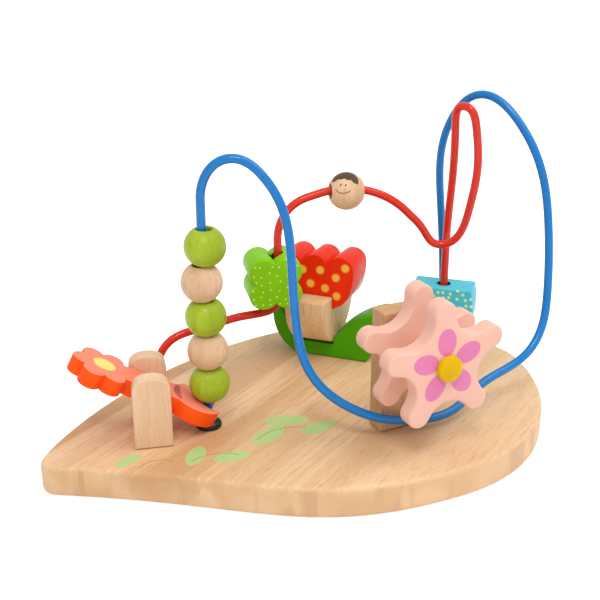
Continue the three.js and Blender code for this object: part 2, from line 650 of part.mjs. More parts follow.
const flowerBore = rodAlongY(FLOWER_AXLE_RADIUS + RUNNING_GAP, -FLOWER_THICKNESS, FLOWER_THICKNESS, 16);

/** Adds a flower whose back face stands that far before the post. */
function spinningFlower(name, backFace, turn) {
  const blossom = cut(upright(petalShape(), FLOWER_THICKNESS, FLOWER_EDGE_ROUND, 3, 1), flowerBore);
  const mesh = piece(flowers, name, blossom, PINK);
  mesh.position.set(0, -backFace - FLOWER_THICKNESS / 2, FLOWER_AXLE_HEIGHT);
  mesh.rotation.y = -turn * RADIANS;
}

/** Adds a distance ring whose back face stands that far before the post. */
function flowerSpacer(name, backFace, length) {
  const bore = FLOWER_AXLE_RADIUS + GLUE_GAP;
  const ring = turned([
    [bore, 0], [FLOWER_SPACER_RADIUS, 0], [FLOWER_SPACER_RADIUS, length], [bore, length], [bore, 0],
  ], 20).rotateX(Math.PI / 2);
  piece(flowers, name, ring, NATURAL).position.set(0, -backFace, FLOWER_AXLE_HEIGHT);
}

const rearSpacerBack = GLUE_GAP;
const rearFlowerBack = rearSpacerBack + FLOWER_REAR_SPACER + RUNNING_GAP;
const middleSpacerBack = rearFlowerBack + FLOWER_THICKNESS + RUNNING_GAP;
const frontFlowerBack = middleSpacerBack + FLOWER_MIDDLE_SPACER + RUNNING_GAP;
const hubBack = frontFlowerBack + FLOWER_THICKNESS + RUNNING_GAP;
flowerSpacer('flower_spacer_rear', rearSpacerBack, FLOWER_REAR_SPACER);
spinningFlower('flower_rear', rearFlowerBack, 0);
flowerSpacer('flower_spacer_middle', middleSpacerBack, FLOWER_MIDDLE_SPACER);
spinningFlower('flower_front', frontFlowerBack, FRONT_FLOWER_TURN);
const axleEnd = hubBack + HUB_EMBED;
piece(flowers, 'flower_axle', rodAlongY(FLOWER_AXLE_RADIUS, -axleEnd, FLOWER_AXLE_EMBED, 16), NATURAL)
  .position.z = FLOWER_AXLE_HEIGHT;
const hubBore = FLOWER_AXLE_RADIUS + GLUE_GAP;
const hubProfile = [
  [hubBore, 0], [HUB_RADIUS, 0], [HUB_RADIUS, HUB_HEIGHT - HUB_EDGE], [HUB_RADIUS - HUB_EDGE, HUB_HEIGHT],
  [0, HUB_HEIGHT], [0, HUB_EMBED + GLUE_GAP], [hubBore, HUB_EMBED + GLUE_GAP], [hubBore, 0],
];
piece(flowers, 'flower_hub', turned(hubProfile, 20).rotateX(Math.PI / 2), YELLOW)
  .position.set(0, -hubBack, FLOWER_AXLE_HEIGHT);

// Tulip on its rocker

const garden = station(TULIP_X, TULIP_Y, TULIP_HEADING);
const rocker = new THREE.Group();
rocker.position.z = ROCKER_PIN_HEIGHT;
rocker.rotation.x = -TULIP_LEAN * RADIANS;
garden.add(rocker);

const rockerShape = new THREE.Shape()
  .moveTo(-ROCKER_RADIUS, ROCKER_CENTRE_ABOVE_PIN)
  .absarc(0, ROCKER_CENTRE_ABOVE_PIN, ROCKER_RADIUS, Math.PI, 2 * Math.PI, false);
const rockerBlock = slab(rockerShape, ROCKER_WIDTH, ROCKER_EDGE_ROUND, 14)
  .rotateX(Math.PI / 2)
  .rotateZ(Math.PI / 2)
  .translate(-ROCKER_WIDTH / 2, 0, 0);
const rockerBearing = rodAlongX(ROCKER_PIN_RADIUS + RUNNING_GAP, -ROCKER_WIDTH, ROCKER_WIDTH, 14);
const dowelHole = rod(TULIP_DOWEL_RADIUS + GLUE_GAP, -TULIP_DOWEL_HALF - GLUE_GAP,
  TULIP_DOWEL_HALF + GLUE_GAP, 14).translate(0, 0, ROCKER_CENTRE_ABOVE_PIN);
piece(rocker, 'tulip_rocker', cut(rockerBlock, rockerBearing, dowelHole), NATURAL);
piece(rocker, 'tulip_dowel', rod(TULIP_DOWEL_RADIUS, -TULIP_DOWEL_HALF, TULIP_DOWEL_HALF, 14), NATURAL)
  .position.z = ROCKER_CENTRE_ABOVE_PIN;

/** The tulip from the front: three round lobes on a cup that laps over the rocker's sides. */
function tulipShape() {
  const seat = ROCKER_CENTRE_ABOVE_PIN + GLUE_GAP;
  const lap = ROCKER_WIDTH / 2 + GLUE_GAP;
  const lip = seat - TULIP_LAP;
  const lobeLevel = seat + TULIP_HEIGHT - TULIP_LOBE_RADIUS;
  const lobeSpacing = 2 * TULIP_LOBE_RADIUS - TULIP_LOBE_LAP;
  const wide = lobeSpacing + TULIP_LOBE_RADIUS;
  const meet = Math.acos(lobeSpacing / 2 / TULIP_LOBE_RADIUS);
  const shape = new THREE.Shape()
    .moveTo(lap, seat)
    .lineTo(lap, lip)
    .bezierCurveTo(wide * 0.8, lip + TULIP_CUP_FLARE, wide, seat, wide, lobeLevel);
  shape.absarc(lobeSpacing, lobeLevel, TULIP_LOBE_RADIUS, 0, Math.PI - meet, false);
  shape.absarc(0, lobeLevel, TULIP_LOBE_RADIUS, meet, Math.PI - meet, false);
  shape.absarc(-lobeSpacing, lobeLevel, TULIP_LOBE_RADIUS, meet, Math.PI, false);
  shape.bezierCurveTo(-wide, seat, -wide * 0.8, lip + TULIP_CUP_FLARE, -lap, lip);
  shape.lineTo(-lap, seat);
  return shape;
}
piece(rocker, 'tulip', cut(upright(tulipShape(), TULIP_DEPTH, TULIP_EDGE_ROUND, 5), dowelHole), RED);

/** The room that the rocker sweeps in the cradle between its two limits. */
function rockerSweep() {
  const side = ROCKER_WIDTH / 2 + RUNNING_GAP;
  return [-TULIP_BACK_ROCK, 0, TULIP_FRONT_ROCK].map((turn) => {
    const lean = (TULIP_LEAN - turn) * RADIANS;
    const back = ROCKER_CENTRE_ABOVE_PIN * Math.sin(lean);
    const height = ROCKER_PIN_HEIGHT + ROCKER_CENTRE_ABOVE_PIN * Math.cos(lean);
    return rodAlongX(ROCKER_RADIUS + RUNNING_GAP, -side, side, 40).translate(0, back, height);
  });
}

const [leftHornX, leftHornZ] = CRADLE_LEFT_HORN;
const [rightHornX, rightHornZ] = CRADLE_RIGHT_HORN;
const notchHalf = ROCKER_WIDTH / 2;
const cradleShape = new THREE.Shape()
  .moveTo(CRADLE_FOOT_LEFT, GLUE_GAP)
  .lineTo(CRADLE_FOOT_RIGHT, GLUE_GAP)
  .quadraticCurveTo(rightHornX - CRADLE_HORN_LEAN, rightHornZ * 0.4, rightHornX, rightHornZ)
  .quadraticCurveTo(notchHalf + CRADLE_HOLLOW, rightHornZ * 0.85, notchHalf, CRADLE_NOTCH_HEIGHT)
  .lineTo(-notchHalf, CRADLE_NOTCH_HEIGHT)
  .quadraticCurveTo(leftHornX * 0.72, leftHornZ * 0.6, leftHornX, leftHornZ)
  .bezierCurveTo(leftHornX * 1.2, leftHornZ * 0.55, leftHornX * 0.9, leftHornZ * 0.12,
    CRADLE_FOOT_LEFT, GLUE_GAP);
const cradleBlock = upright(cradleShape, CRADLE_DEPTH, CRADLE_EDGE_ROUND, 8);
const rockerPinHalf = ROCKER_WIDTH / 2 + RUNNING_GAP + ROCKER_PIN_EMBED;
const socketHalf = rockerPinHalf + GLUE_GAP;
const pinSocket = rodAlongX(ROCKER_PIN_RADIUS + GLUE_GAP, -socketHalf, socketHalf, 14)
  .translate(0, 0, ROCKER_PIN_HEIGHT);
const cradleScrews = { screw_leaf_left: 0, screw_leaf_right: CRADLE_SCREW_SPREAD };
const cradlePilots = [];
for (const [name, x] of Object.entries(cradleScrews)) {
  cradlePilots.push(screwPilot(x, 0, CRADLE_SCREW_REACH));
  boardCuts.push(...screw(name, planPoint(TULIP_X, TULIP_Y, TULIP_HEADING, x, 0), CRADLE_SCREW_REACH));
}
piece(garden, 'leaf_cradle', cut(cradleBlock, ...rockerSweep(), pinSocket, ...cradlePilots), LEAF_GREEN);
piece(garden, 'rocker_pin', rodAlongX(ROCKER_PIN_RADIUS, -rockerPinHalf, rockerPinHalf, 14), STEEL)
  .position.z = ROCKER_PIN_HEIGHT;

// Board

/** The leaf outline: a small round tip, full sides and a broad round end. */
function boardShape() {
  const tipX = -BOARD_LENGTH / 2;
  const endX = BOARD_LENGTH / 2;
  const wideX = tipX + BOARD_WIDEST_FROM_TIP;
  const tipCentre = tipX + BOARD_TIP_RADIUS;
  const front = TIP_FRONT_ANGLE * RADIANS;
  const back = TIP_BACK_ANGLE * RADIANS;
  const frontX = tipCentre - BOARD_TIP_RADIUS * Math.sin(front);
  const frontY = -BOARD_TIP_OFFSET - BOARD_TIP_RADIUS * Math.cos(front);
  const backX = tipCentre - BOARD_TIP_RADIUS * Math.sin(back);
  const backY = -BOARD_TIP_OFFSET + BOARD_TIP_RADIUS * Math.cos(back);
  const frontHandle = TIP_FRONT_FULLNESS * BOARD_WIDEST_FROM_TIP;
  const backHandle = TIP_BACK_FULLNESS * BOARD_WIDEST_FROM_TIP;
  const frontShoulder = wideX - FRONT_SHOULDER_FULLNESS * BOARD_WIDEST_FROM_TIP;
  const backShoulder = wideX - BACK_SHOULDER_FULLNESS * BOARD_WIDEST_FROM_TIP;
  const endHandle = END_FULLNESS * (endX - wideX);
  const frontTurn = -END_ROUNDNESS * BOARD_FRONT_REACH;
  const backTurn = END_ROUNDNESS * BOARD_BACK_REACH;
  const shape = new THREE.Shape();
  shape.absarc(tipCentre, -BOARD_TIP_OFFSET, BOARD_TIP_RADIUS,
    Math.PI / 2 + back, 1.5 * Math.PI - front, false);
  shape.bezierCurveTo(frontX + frontHandle * Math.cos(front), frontY - frontHandle * Math.sin(front),
    frontShoulder, -BOARD_FRONT_REACH, wideX, -BOARD_FRONT_REACH);
  shape.bezierCurveTo(wideX + endHandle, -BOARD_FRONT_REACH, endX, frontTurn, endX, 0);
  shape.bezierCurveTo(endX, backTurn, wideX + endHandle, BOARD_BACK_REACH, wideX, BOARD_BACK_REACH);
  shape.bezierCurveTo(backShoulder, BOARD_BACK_REACH,
    backX + backHandle * Math.cos(back), backY + backHandle * Math.sin(back), backX, backY);
  return shape;
}
const boardBlank = slab(boardShape(), BOARD_THICKNESS, BOARD_EDGE_ROUND, 11);
piece(root, 'base_board', cut(boardBlank, ...boardCuts), NATURAL);

export default root;
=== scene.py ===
"""Dresses the wooden toy activity centre: turned, sawn and bent pieces in wood, paint and coats."""
import logging
import math
from dataclasses import dataclass, field
from enum import Enum
from functools import reduce
from typing import ClassVar

import bmesh
import bpy
from mathutils import Matrix, Vector
from mathutils.geometry import interpolate_bezier


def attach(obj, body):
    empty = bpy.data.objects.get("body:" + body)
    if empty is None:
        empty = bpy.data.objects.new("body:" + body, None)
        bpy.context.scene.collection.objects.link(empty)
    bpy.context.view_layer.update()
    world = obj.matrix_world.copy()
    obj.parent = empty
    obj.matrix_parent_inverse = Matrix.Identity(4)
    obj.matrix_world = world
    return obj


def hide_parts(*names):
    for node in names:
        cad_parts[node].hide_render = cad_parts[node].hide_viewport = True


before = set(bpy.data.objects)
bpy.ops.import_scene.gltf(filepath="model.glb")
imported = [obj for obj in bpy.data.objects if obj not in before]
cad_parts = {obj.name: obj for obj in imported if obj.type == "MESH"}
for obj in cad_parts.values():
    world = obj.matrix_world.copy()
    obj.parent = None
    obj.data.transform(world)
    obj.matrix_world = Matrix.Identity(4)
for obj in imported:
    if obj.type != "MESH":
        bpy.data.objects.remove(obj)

LOG = logging.getLogger("activity_centre")
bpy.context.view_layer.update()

# Lengths are in metres, as in the frame
BOARD_TOP = 0.018
GLUE_GAP = 0.0003
RUNNING_GAP = 0.0004
OVERCUT = 0.001
PILOT_RADIUS = 0.0022
SAME_POINT = 1e-5
MERGE_REACH = 1e-6

SETTLING_ROUNDS = 40
QUARTER_TURN = math.pi / 2
FULL_TURN = 2.0 * math.pi
UP = Vector((0.0, 0.0, 1.0))
DOWN = Vector((0.0, 0.0, -1.0))
ORIGIN = (0.0, 0.0, 0.0)
UNIT_SCALE = (1.0, 1.0, 1.0)
WHITE = (1.0, 1.0, 1.0)

FRAME_BODY = "frame"
NATURAL = "wood_natural"

Point2 = tuple[float, float]
Point3 = tuple[float, float, float]
Colour = tuple[float, float, float]
Oval = tuple[float, float, float, float, float]
Arc = tuple[float, float, float, float, float, float]
Socket = bpy.types.NodeSocket
Material = bpy.types.Material
Mesh = bmesh.types.BMesh
Station = tuple[Vector, Vector | None]


def srgb(red: int, green: int, blue: int) -> Colour:
    """Returns a screen colour, 0 to 255, as the linear colour that a shader takes."""
    def linear(value: int) -> float:
        """Returns one channel in linear light."""
        share = value / 255.0
        return share / 12.92 if share <= 0.04045 else ((share + 0.055) / 1.055) ** 2.4
    return linear(red), linear(green), linear(blue)


class Grain(Enum):
    """The way that the grain runs in a piece, as a turn of the grain's own X axis."""

    ACROSS_BOARD = (0.0, 0.0, math.radians(31.0))
    UPRIGHT = (0.0, QUARTER_TURN, 0.0)


class Shading(Enum):
    """How sharp an edge may be before its shading breaks, in degrees."""

    SAWN = 32.0
    TURNED = 40.0
    BENT = 60.0


# Materials


class Nodes:
    """The nodes of a material or a world, added and linked one after another."""

    def __init__(self, tree: bpy.types.NodeTree) -> None:
        """Starts with what a node tree holds.

        Args:
            tree: The node tree to fill.
        """
        self.nodes = tree.nodes
        self.links = tree.links

    def feed(self, socket: Socket, value: object) -> None:
        """Links a socket to a node's output, or sets its plain value.

        Args:
            socket: The input to fill.
            value: An output socket, a number, a vector or a colour.
        """
        if isinstance(value, bpy.types.NodeSocket):
            self.links.new(value, socket)
        elif socket.type == "RGBA" and len(value) == 3:
            socket.default_value = (*value, 1.0)
        else:
            socket.default_value = value

    def add(self, kind: str, inputs: dict[str | int, object] | None = None,
            **settings: object) -> bpy.types.Node:
        """Adds a node.

        Args:
            kind: The node's type name.
            inputs: Values or links by input name or number.
            **settings: The node's own properties.

        Returns:
            The new node.
        """
        node = self.nodes.new(kind)
        for key, value in settings.items():
            setattr(node, key, value)
        for key, value in (inputs or {}).items():
            self.feed(node.inputs[key], value)
        return node

    def math(self, operation: str, first: object, second: object = 0.0) -> Socket:
        """Returns the result of one sum on two values."""
        return self.add("ShaderNodeMath", {0: first, 1: second}, operation=operation).outputs[0]

    def times(self, first: object, second: object) -> Socket:
        """Returns the product of two values."""
        return self.math("MULTIPLY", first, second)

    def plus(self, first: object, second: object) -> Socket:
        """Returns the sum of two values."""
        return self.math("ADD", first, second)

    def minus(self, first: object, second: object) -> Socket:
        """Returns the difference of two values."""
        return self.math("SUBTRACT", first, second)

    def any_of(self, *masks: Socket) -> Socket:
        """Returns the greatest of some masks."""
        return reduce(lambda first, second: self.math("MAXIMUM", first, second), masks)

    def seen(self) -> Socket:
        """Returns 1 where the camera looks, straight or by way of gloss or glass."""
        path = self.add("ShaderNodeLightPath").outputs
        return self.any_of(path["Is Camera Ray"], path["Is Glossy Ray"],
                           path["Is Transmission Ray"])

    def framed(self, vector: Socket, spot: object, turn: object,
               scale: Point3 = UNIT_SCALE) -> Socket:
        """Returns the coordinates in a frame that stands at a spot with a turn and a scale."""
        return self.add("ShaderNodeMapping",
                        {"Vector": vector, "Location": spot, "Rotation": turn, "Scale": scale},
                        vector_type="TEXTURE").outputs[0]

    def axes(self, vector: Socket) -> tuple[Socket, Socket, Socket]:
        """Returns the three parts of a vector."""
        node = self.add("ShaderNodeSeparateXYZ", {0: vector})
        return node.outputs[0], node.outputs[1], node.outputs[2]

    def join(self, x: object = 0.0, y: object = 0.0, z: object = 0.0) -> Socket:
        """Returns a vector of three parts."""
        return self.add("ShaderNodeCombineXYZ", {0: x, 1: y, 2: z}).outputs[0]

    def distance(self, vector: Socket, point: object) -> Socket:
        """Returns how far the coordinates are from a point."""
        return self.add("ShaderNodeVectorMath", {0: vector, 1: point},
                        operation="DISTANCE").outputs["Value"]

    def noise(self, vector: Socket, scale: float, detail: float = 3.0,
              distortion: float = 0.0) -> Socket:
        """Returns a soft noise from 0 to 1."""
        return self.add("ShaderNodeTexNoise", {"Vector": vector, "Scale": scale, "Detail": detail,
                                               "Distortion": distortion}).outputs[0]

    def figure(self, vector: Socket, scale: Point3, detail: float,
               distortion: float = 0.0) -> Socket:
        """Returns a noise that is drawn out by its own scale on each axis."""
        drawn = self.add("ShaderNodeMapping", {"Vector": vector, "Scale": scale}).outputs[0]
        return self.noise(drawn, 1.0, detail, distortion)

    def ramp(self, value: Socket, low: float, high: float, to_low: float = 0.0,
             to_high: float = 1.0) -> Socket:
        """Returns a value eased from one span to another."""
        return self.add("ShaderNodeMapRange", {0: value, 1: low, 2: high, 3: to_low, 4: to_high},
                        interpolation_type="SMOOTHSTEP").outputs[0]

    def under(self, value: Socket, limit: float, soft: float = 0.00012) -> Socket:
        """Returns 1 where a value is under a limit, with a soft edge."""
        return self.ramp(value, limit - soft, limit + soft, 1.0, 0.0)

    def blend(self, share: object, first: object, second: object) -> Socket:
        """Returns one colour laid over another by a share."""
        return self.add("ShaderNodeMix", {0: share, 6: first, 7: second},
                        data_type="RGBA").outputs[2]


class Surface(Nodes):
    """The nodes of one material, with its shader and its object coordinates."""

    def __init__(self, name: str) -> None:
        """Starts a material with a plain shader.

        Args:
            name: The material's name.
        """
        self.material = bpy.data.materials.new(name)
        self.material.use_nodes = True
        super().__init__(self.material.node_tree)
        self.shader = self.nodes["Principled BSDF"]
        self.place = self.add("ShaderNodeTexCoord").outputs["Object"]

    def set(self, name: str, value: object) -> None:
        """Fills one of the shader's own inputs."""
        self.feed(self.shader.inputs[name], value)

    def bump(self, height: Socket, depth: float) -> None:
        """Gives the surface a relief of a depth in metres."""
        node = self.add("ShaderNodeBump", {"Height": height, "Distance": depth})
        self.set("Normal", node.outputs[0])


@dataclass(frozen=True)
class Ink:
    """A printing ink: its colour and how much of the ground it covers."""

    colour: Colour
    cover: float = 1.0


@dataclass(frozen=True)
class Print:
    """One ink in a printed pattern that is laid out in a frame of its own."""

    ink: Ink
    place: Matrix

    def local(self, tree: Surface) -> Socket:
        """Returns the coordinates in the pattern's frame."""
        return tree.framed(tree.place, self.place.to_translation(), self.place.to_euler())

    def mask(self, tree: Surface) -> Socket:
        """Returns 1 where the ink lies."""
        raise NotImplementedError

    def over(self, tree: Surface, ground: object) -> Socket:
        """Lays the ink over a ground and returns the colour with the ink on it."""
        return tree.blend(tree.times(self.mask(tree), self.ink.cover), ground, self.ink.colour)


@dataclass(frozen=True)
class Dots(Print):
    """Round dots strewn over the face that looks along the frame's -Y."""

    face: float
    spacing: float
    radius: float
    spread: float = 0.6
    softness: float = 0.03
    face_depth: float = 0.0006

    def mask(self, tree: Surface) -> Socket:
        """Strews the dots.

        Args:
            tree: The material's nodes.

        Returns:
            1 inside the dots on that face.
        """
        across, depth, height = tree.axes(self.local(tree))
        cells = tree.add("ShaderNodeTexVoronoi",
                         {"Vector": tree.join(across, height), "Scale": 1.0 / self.spacing,
                          "Randomness": self.spread}, voronoi_dimensions="2D")
        inside = tree.under(cells.outputs["Distance"], self.radius / self.spacing, self.softness)
        return tree.times(inside, tree.under(depth, self.face + self.face_depth))


@dataclass(frozen=True)
class FacePrint(Print):
    """Marks on one face: the one that looks along the frame's -Y, or the upper one."""

    face: float
    looks_up: bool = field(default=False, kw_only=True)

    def marks(self, tree: Surface, x: Socket, y: Socket) -> list[Socket]:
        """Returns a mask for each mark, from the two coordinates on the face."""
        raise NotImplementedError

    def mask(self, tree: Surface) -> Socket:
        """Gathers the marks.

        Args:
            tree: The material's nodes.

        Returns:
            1 inside any mark on that face.
        """
        x, y, z = tree.axes(self.local(tree))
        if self.looks_up:
            marks, front = self.marks(tree, x, y), tree.math("GREATER_THAN", z, self.face)
        else:
            marks, front = self.marks(tree, x, z), tree.math("LESS_THAN", y, self.face)
        return tree.times(tree.any_of(*marks), front)


@dataclass(frozen=True)
class Ovals(FacePrint):
    """Ovals at given places: each is (across, up, half length, half width, turn)."""

    ovals: tuple[Oval, ...]
    softness: float = 0.02

    def marks(self, tree: Surface, x: Socket, y: Socket) -> list[Socket]:
        """Draws the ovals.

        Args:
            tree: The material's nodes.
            x: The coordinate across the face.
            y: The coordinate up the face.

        Returns:
            A mask for each oval.
        """
        flat = tree.join(x, y)
        result = []
        for across, up, length, width, turn in self.ovals:
            oval = tree.framed(flat, (across, up, 0.0), (0.0, 0.0, turn), (length, width, 1.0))
            result.append(tree.under(tree.distance(oval, ORIGIN), 1.0, self.softness))
        return result


@dataclass(frozen=True)
class Arcs(FacePrint):
    """Thin curved strokes: each is (across, up, radius, half stroke, first angle, last angle)."""

    arcs: tuple[Arc, ...]

    def marks(self, tree: Surface, x: Socket, y: Socket) -> list[Socket]:
        """Draws the strokes.

        Args:
            tree: The material's nodes.
            x: The coordinate across the face.
            y: The coordinate up the face.

        Returns:
            A mask for each stroke.
        """
        flat = tree.join(x, y)
        result = []
        for across, up, radius, stroke, first, last in self.arcs:
            off = tree.math("ABSOLUTE", tree.minus(tree.distance(flat, (across, up, 0.0)), radius))
            angle = tree.math("ARCTAN2", tree.minus(y, up), tree.minus(x, across))
            after = tree.math("GREATER_THAN", angle, first)
            before = tree.math("LESS_THAN", angle, last)
            result.append(tree.times(tree.under(off, stroke), tree.times(after, before)))
        return result


@dataclass(frozen=True)
class PaintedBoreShade(Print):
    """Painted shade on the inside of a bore that runs up through a piece, dark where light hardly
    reaches.
    """

    across: float
    radius: float
    wall: float = 0.0002

    def mask(self, tree: Surface) -> Socket:
        """Returns 1 on the wall of the bore, where the shade is painted."""
        x, y, _ = tree.axes(self.local(tree))
        return tree.under(tree.distance(tree.join(x, y), (self.across, 0.0, 0.0)),
                          self.radius + self.wall)


@dataclass(frozen=True)
class Hair(Print):
    """A painted patch of hair round a crown, with an arched and jagged fringe towards -Y."""

    crown: Point3 = (0.0003, -0.0096, 0.0058)
    reach: float = 0.0084
    level: float = 0.0064
    arch: float = 48.0
    jag: float = 0.0007
    pitch: float = 0.0019
    softness: float = 0.0002

    def mask(self, tree: Surface) -> Socket:
        """Draws the patch.

        Args:
            tree: The material's nodes.

        Returns:
            1 between the fringe and the patch's rim.
        """
        local = self.local(tree)
        x, _, z = tree.axes(local)
        teeth = tree.times(tree.math("PINGPONG", x, self.pitch), self.jag / self.pitch)
        bow = tree.times(tree.times(x, x), self.arch)
        rise = tree.plus(z, tree.plus(bow, teeth))
        fringe = tree.ramp(rise, self.level, self.level + self.softness)
        return tree.times(tree.under(tree.distance(local, self.crown), self.reach), fringe)


class Finish:
    """A finish on wood: a coloured ground with a fine relief, which prints may cover."""

    rough: float
    PATCHES: ClassVar[float]
    ROUGH_SPREAD: ClassVar[float]
    SPECULAR: ClassVar[float]
    RELIEF: ClassVar[float]

    def ground(self, tree: Surface) -> tuple[Socket, Socket]:
        """Returns the ground's colour and its relief."""
        raise NotImplementedError

    def material(self, name: str, prints: tuple[Print, ...] = ()) -> Material:
        """Makes the finish.

        Args:
            name: The material's name.
            prints: Inks on top, from the lowest.

        Returns:
            The material.
        """
        tree = Surface(name)
        colour, relief = self.ground(tree)
        for layer in prints:
            colour = layer.over(tree, colour)
        patchy = tree.noise(tree.place, self.PATCHES)
        smooth, coarse = self.rough - self.ROUGH_SPREAD, self.rough + self.ROUGH_SPREAD
        tree.set("Base Color", colour)
        tree.set("Roughness", tree.ramp(patchy, 0.2, 0.8, smooth, coarse))
        tree.set("Specular IOR Level", self.SPECULAR)
        tree.bump(relief, self.RELIEF)
        return tree.material


@dataclass(frozen=True)
class ClearWood(Finish):
    """Pale hardwood under a clear satin coat."""

    light: Colour
    dark: Colour
    pore: Colour = srgb(166, 113, 70)
    grain: Grain = Grain.UPRIGHT
    shift: float = 0.0
    rough: float = 0.52
    figure: float = 0.45

    PATCHES = 55.0
    ROUGH_SPREAD = 0.08
    SPECULAR = 0.25
    RELIEF = 0.00008
    START: ClassVar[Point3] = (1.0, 0.37, 0.61)
    BANDS: ClassVar[Point3] = (3.0, 42.0, 42.0)
    LINES: ClassVar[Point3] = (14.0, 480.0, 480.0)
    PORES: ClassVar[Point3] = (100.0, 1300.0, 1300.0)

    def along(self, tree: Surface) -> Socket:
        """Returns the coordinates along the grain."""
        return tree.framed(tree.place, self.shift * Vector(self.START), self.grain.value)

    def growth(self, tree: Surface, along: Socket) -> tuple[Socket, Socket, Socket]:
        """Draws what has grown in the wood.

        Args:
            tree: The material's nodes.
            along: The coordinates along the grain.

        Returns:
            The colour of the broad bands, the share of the fine dark lines and that of the pores.
        """
        bands = tree.ramp(tree.figure(along, self.BANDS, 4.0, 0.6), 0.3, 0.72)
        lines = tree.ramp(tree.figure(along, self.LINES, 4.0, 0.3), 0.46, 0.72, 0.0, 0.7)
        pores = tree.ramp(tree.figure(along, self.PORES, 2.0), 0.52, 0.76)
        return tree.blend(bands, self.light, self.dark), lines, pores

    def pitted(self, tree: Surface, ground: Socket, pores: Socket) -> tuple[Socket, Socket]:
        """Returns a ground with its dark pores, and their relief."""
        colour = tree.blend(tree.times(pores, self.figure), ground, self.pore)
        return colour, tree.times(pores, -1.0)

    def ground(self, tree: Surface) -> tuple[Socket, Socket]:
        """Returns the wood's colour and the pores' relief."""
        bands, lines, pores = self.growth(tree, self.along(tree))
        return self.pitted(tree, tree.blend(lines, bands, self.dark), pores)


@dataclass(frozen=True)
class StavedWood(ClearWood):
    """Clear wood glued up from staves of different tone, with end grain on its edge."""

    stave: float = field(kw_only=True)
    slant: float = 0.4
    slip: float = 3.0
    edge_top: float = BOARD_TOP - 0.0006
    edge_low: float = BOARD_TOP - 0.0022
    edge_figure: float = 0.12

    BLOCKS: ClassVar[Point3] = (70.0, 70.0, 9.0)
    LAYERS: ClassVar[Point3] = (9.0, 30.0, 1100.0)

    def ground(self, tree: Surface) -> tuple[Socket, Socket]:
        """Builds the staves.

        Args:
            tree: The material's nodes.

        Returns:
            The colour and the pores' relief.
        """
        along = self.along(tree)
        _, side, height = tree.axes(along)
        leaning = tree.plus(side, tree.times(height, self.slant))
        number = tree.math("FLOOR", tree.math("DIVIDE", leaning, self.stave))
        tone = tree.add("ShaderNodeTexWhiteNoise", {"W": number}, noise_dimensions="1D").outputs[0]
        slide = tree.join(x=tree.times(tone, self.slip), z=tone)
        along = tree.add("ShaderNodeVectorMath", {0: along, 1: slide}, operation="ADD").outputs[0]
        bands, lines, pores = self.growth(tree, along)
        top = tree.ramp(height, self.edge_low, self.edge_top, self.edge_figure, 1.0)
        edge = tree.minus(1.0, top)
        blocks = tree.figure(along, self.BLOCKS, 3.0)
        bars = tree.ramp(blocks, 0.48, 0.6, 0.35, 1.0)
        layers = tree.ramp(tree.figure(along, self.LAYERS, 2.0), 0.45, 0.8, 0.0, 0.35)
        lines = tree.plus(tree.times(lines, top), tree.times(tree.any_of(bars, layers), edge))
        ground = tree.blend(lines, bands, self.dark)
        burr = tree.times(edge, tree.ramp(blocks, 0.54, 0.62, 0.0, 0.45))
        ground = tree.blend(burr, ground, self.pore)
        ground = tree.blend(tree.ramp(tone, 0.45, 1.0, 0.0, 0.75), ground, self.dark)
        ground = tree.blend(tree.ramp(tone, 0.0, 0.4, 0.45, 0.0), ground, self.light)
        return self.pitted(tree, ground, tree.times(pores, top))


@dataclass(frozen=True)
class Paint(Finish):
    """Satin paint on wood, thin enough to let the grain's relief through."""

    colour: Colour
    deep: Colour
    rough: float = 0.42
    veil: float = 0.25

    PATCHES = 110.0
    ROUGH_SPREAD = 0.07
    SPECULAR = 0.1
    RELIEF = 0.00006
    CLOUDS: ClassVar[float] = 70.0
    STREAKS: ClassVar[Point3] = (28.0, 520.0, 520.0)

    def ground(self, tree: Surface) -> tuple[Socket, Socket]:
        """Builds the painted ground.

        Args:
            tree: The material's nodes.

        Returns:
            The colour and the relief.
        """
        along = tree.framed(tree.place, ORIGIN, Grain.UPRIGHT.value)
        cloud = tree.noise(tree.place, self.CLOUDS)
        streaks = tree.figure(along, self.STREAKS, 4.0, 0.3)
        tint = tree.blend(tree.ramp(cloud, 0.25, 0.75, 0.0, self.veil), self.colour, self.deep)
        tint = tree.blend(tree.ramp(streaks, 0.5, 0.85, 0.0, self.veil), tint, self.deep)
        return tint, streaks


@dataclass(frozen=True, kw_only=True)
class PartPaint(Paint):
    """Paint on a face and above a line that climbs behind it, with bare wood on the rest."""

    wood: ClearWood
    place: Matrix
    face: float
    line: float
    climb: float
    face_depth: float = 0.0009
    waver: float = 0.0012
    waver_scale: float = 160.0

    def ground(self, tree: Surface) -> tuple[Socket, Socket]:
        """Builds the paint with the bare wood below its line.

        Args:
            tree: The material's nodes.

        Returns:
            The colour and the relief.
        """
        tint, relief = super().ground(tree)
        bare, _ = self.wood.ground(tree)
        local = tree.framed(tree.place, self.place.to_translation(), self.place.to_euler())
        _, depth, height = tree.axes(local)
        waver = tree.times(tree.noise(tree.place, self.waver_scale), self.waver)
        fall = tree.times(tree.minus(depth, self.face), -self.climb)
        above = tree.math("GREATER_THAN", tree.plus(tree.plus(height, waver), fall), self.line)
        front = tree.math("LESS_THAN", depth, self.face + self.face_depth)
        return tree.blend(tree.any_of(above, front), bare, tint), relief


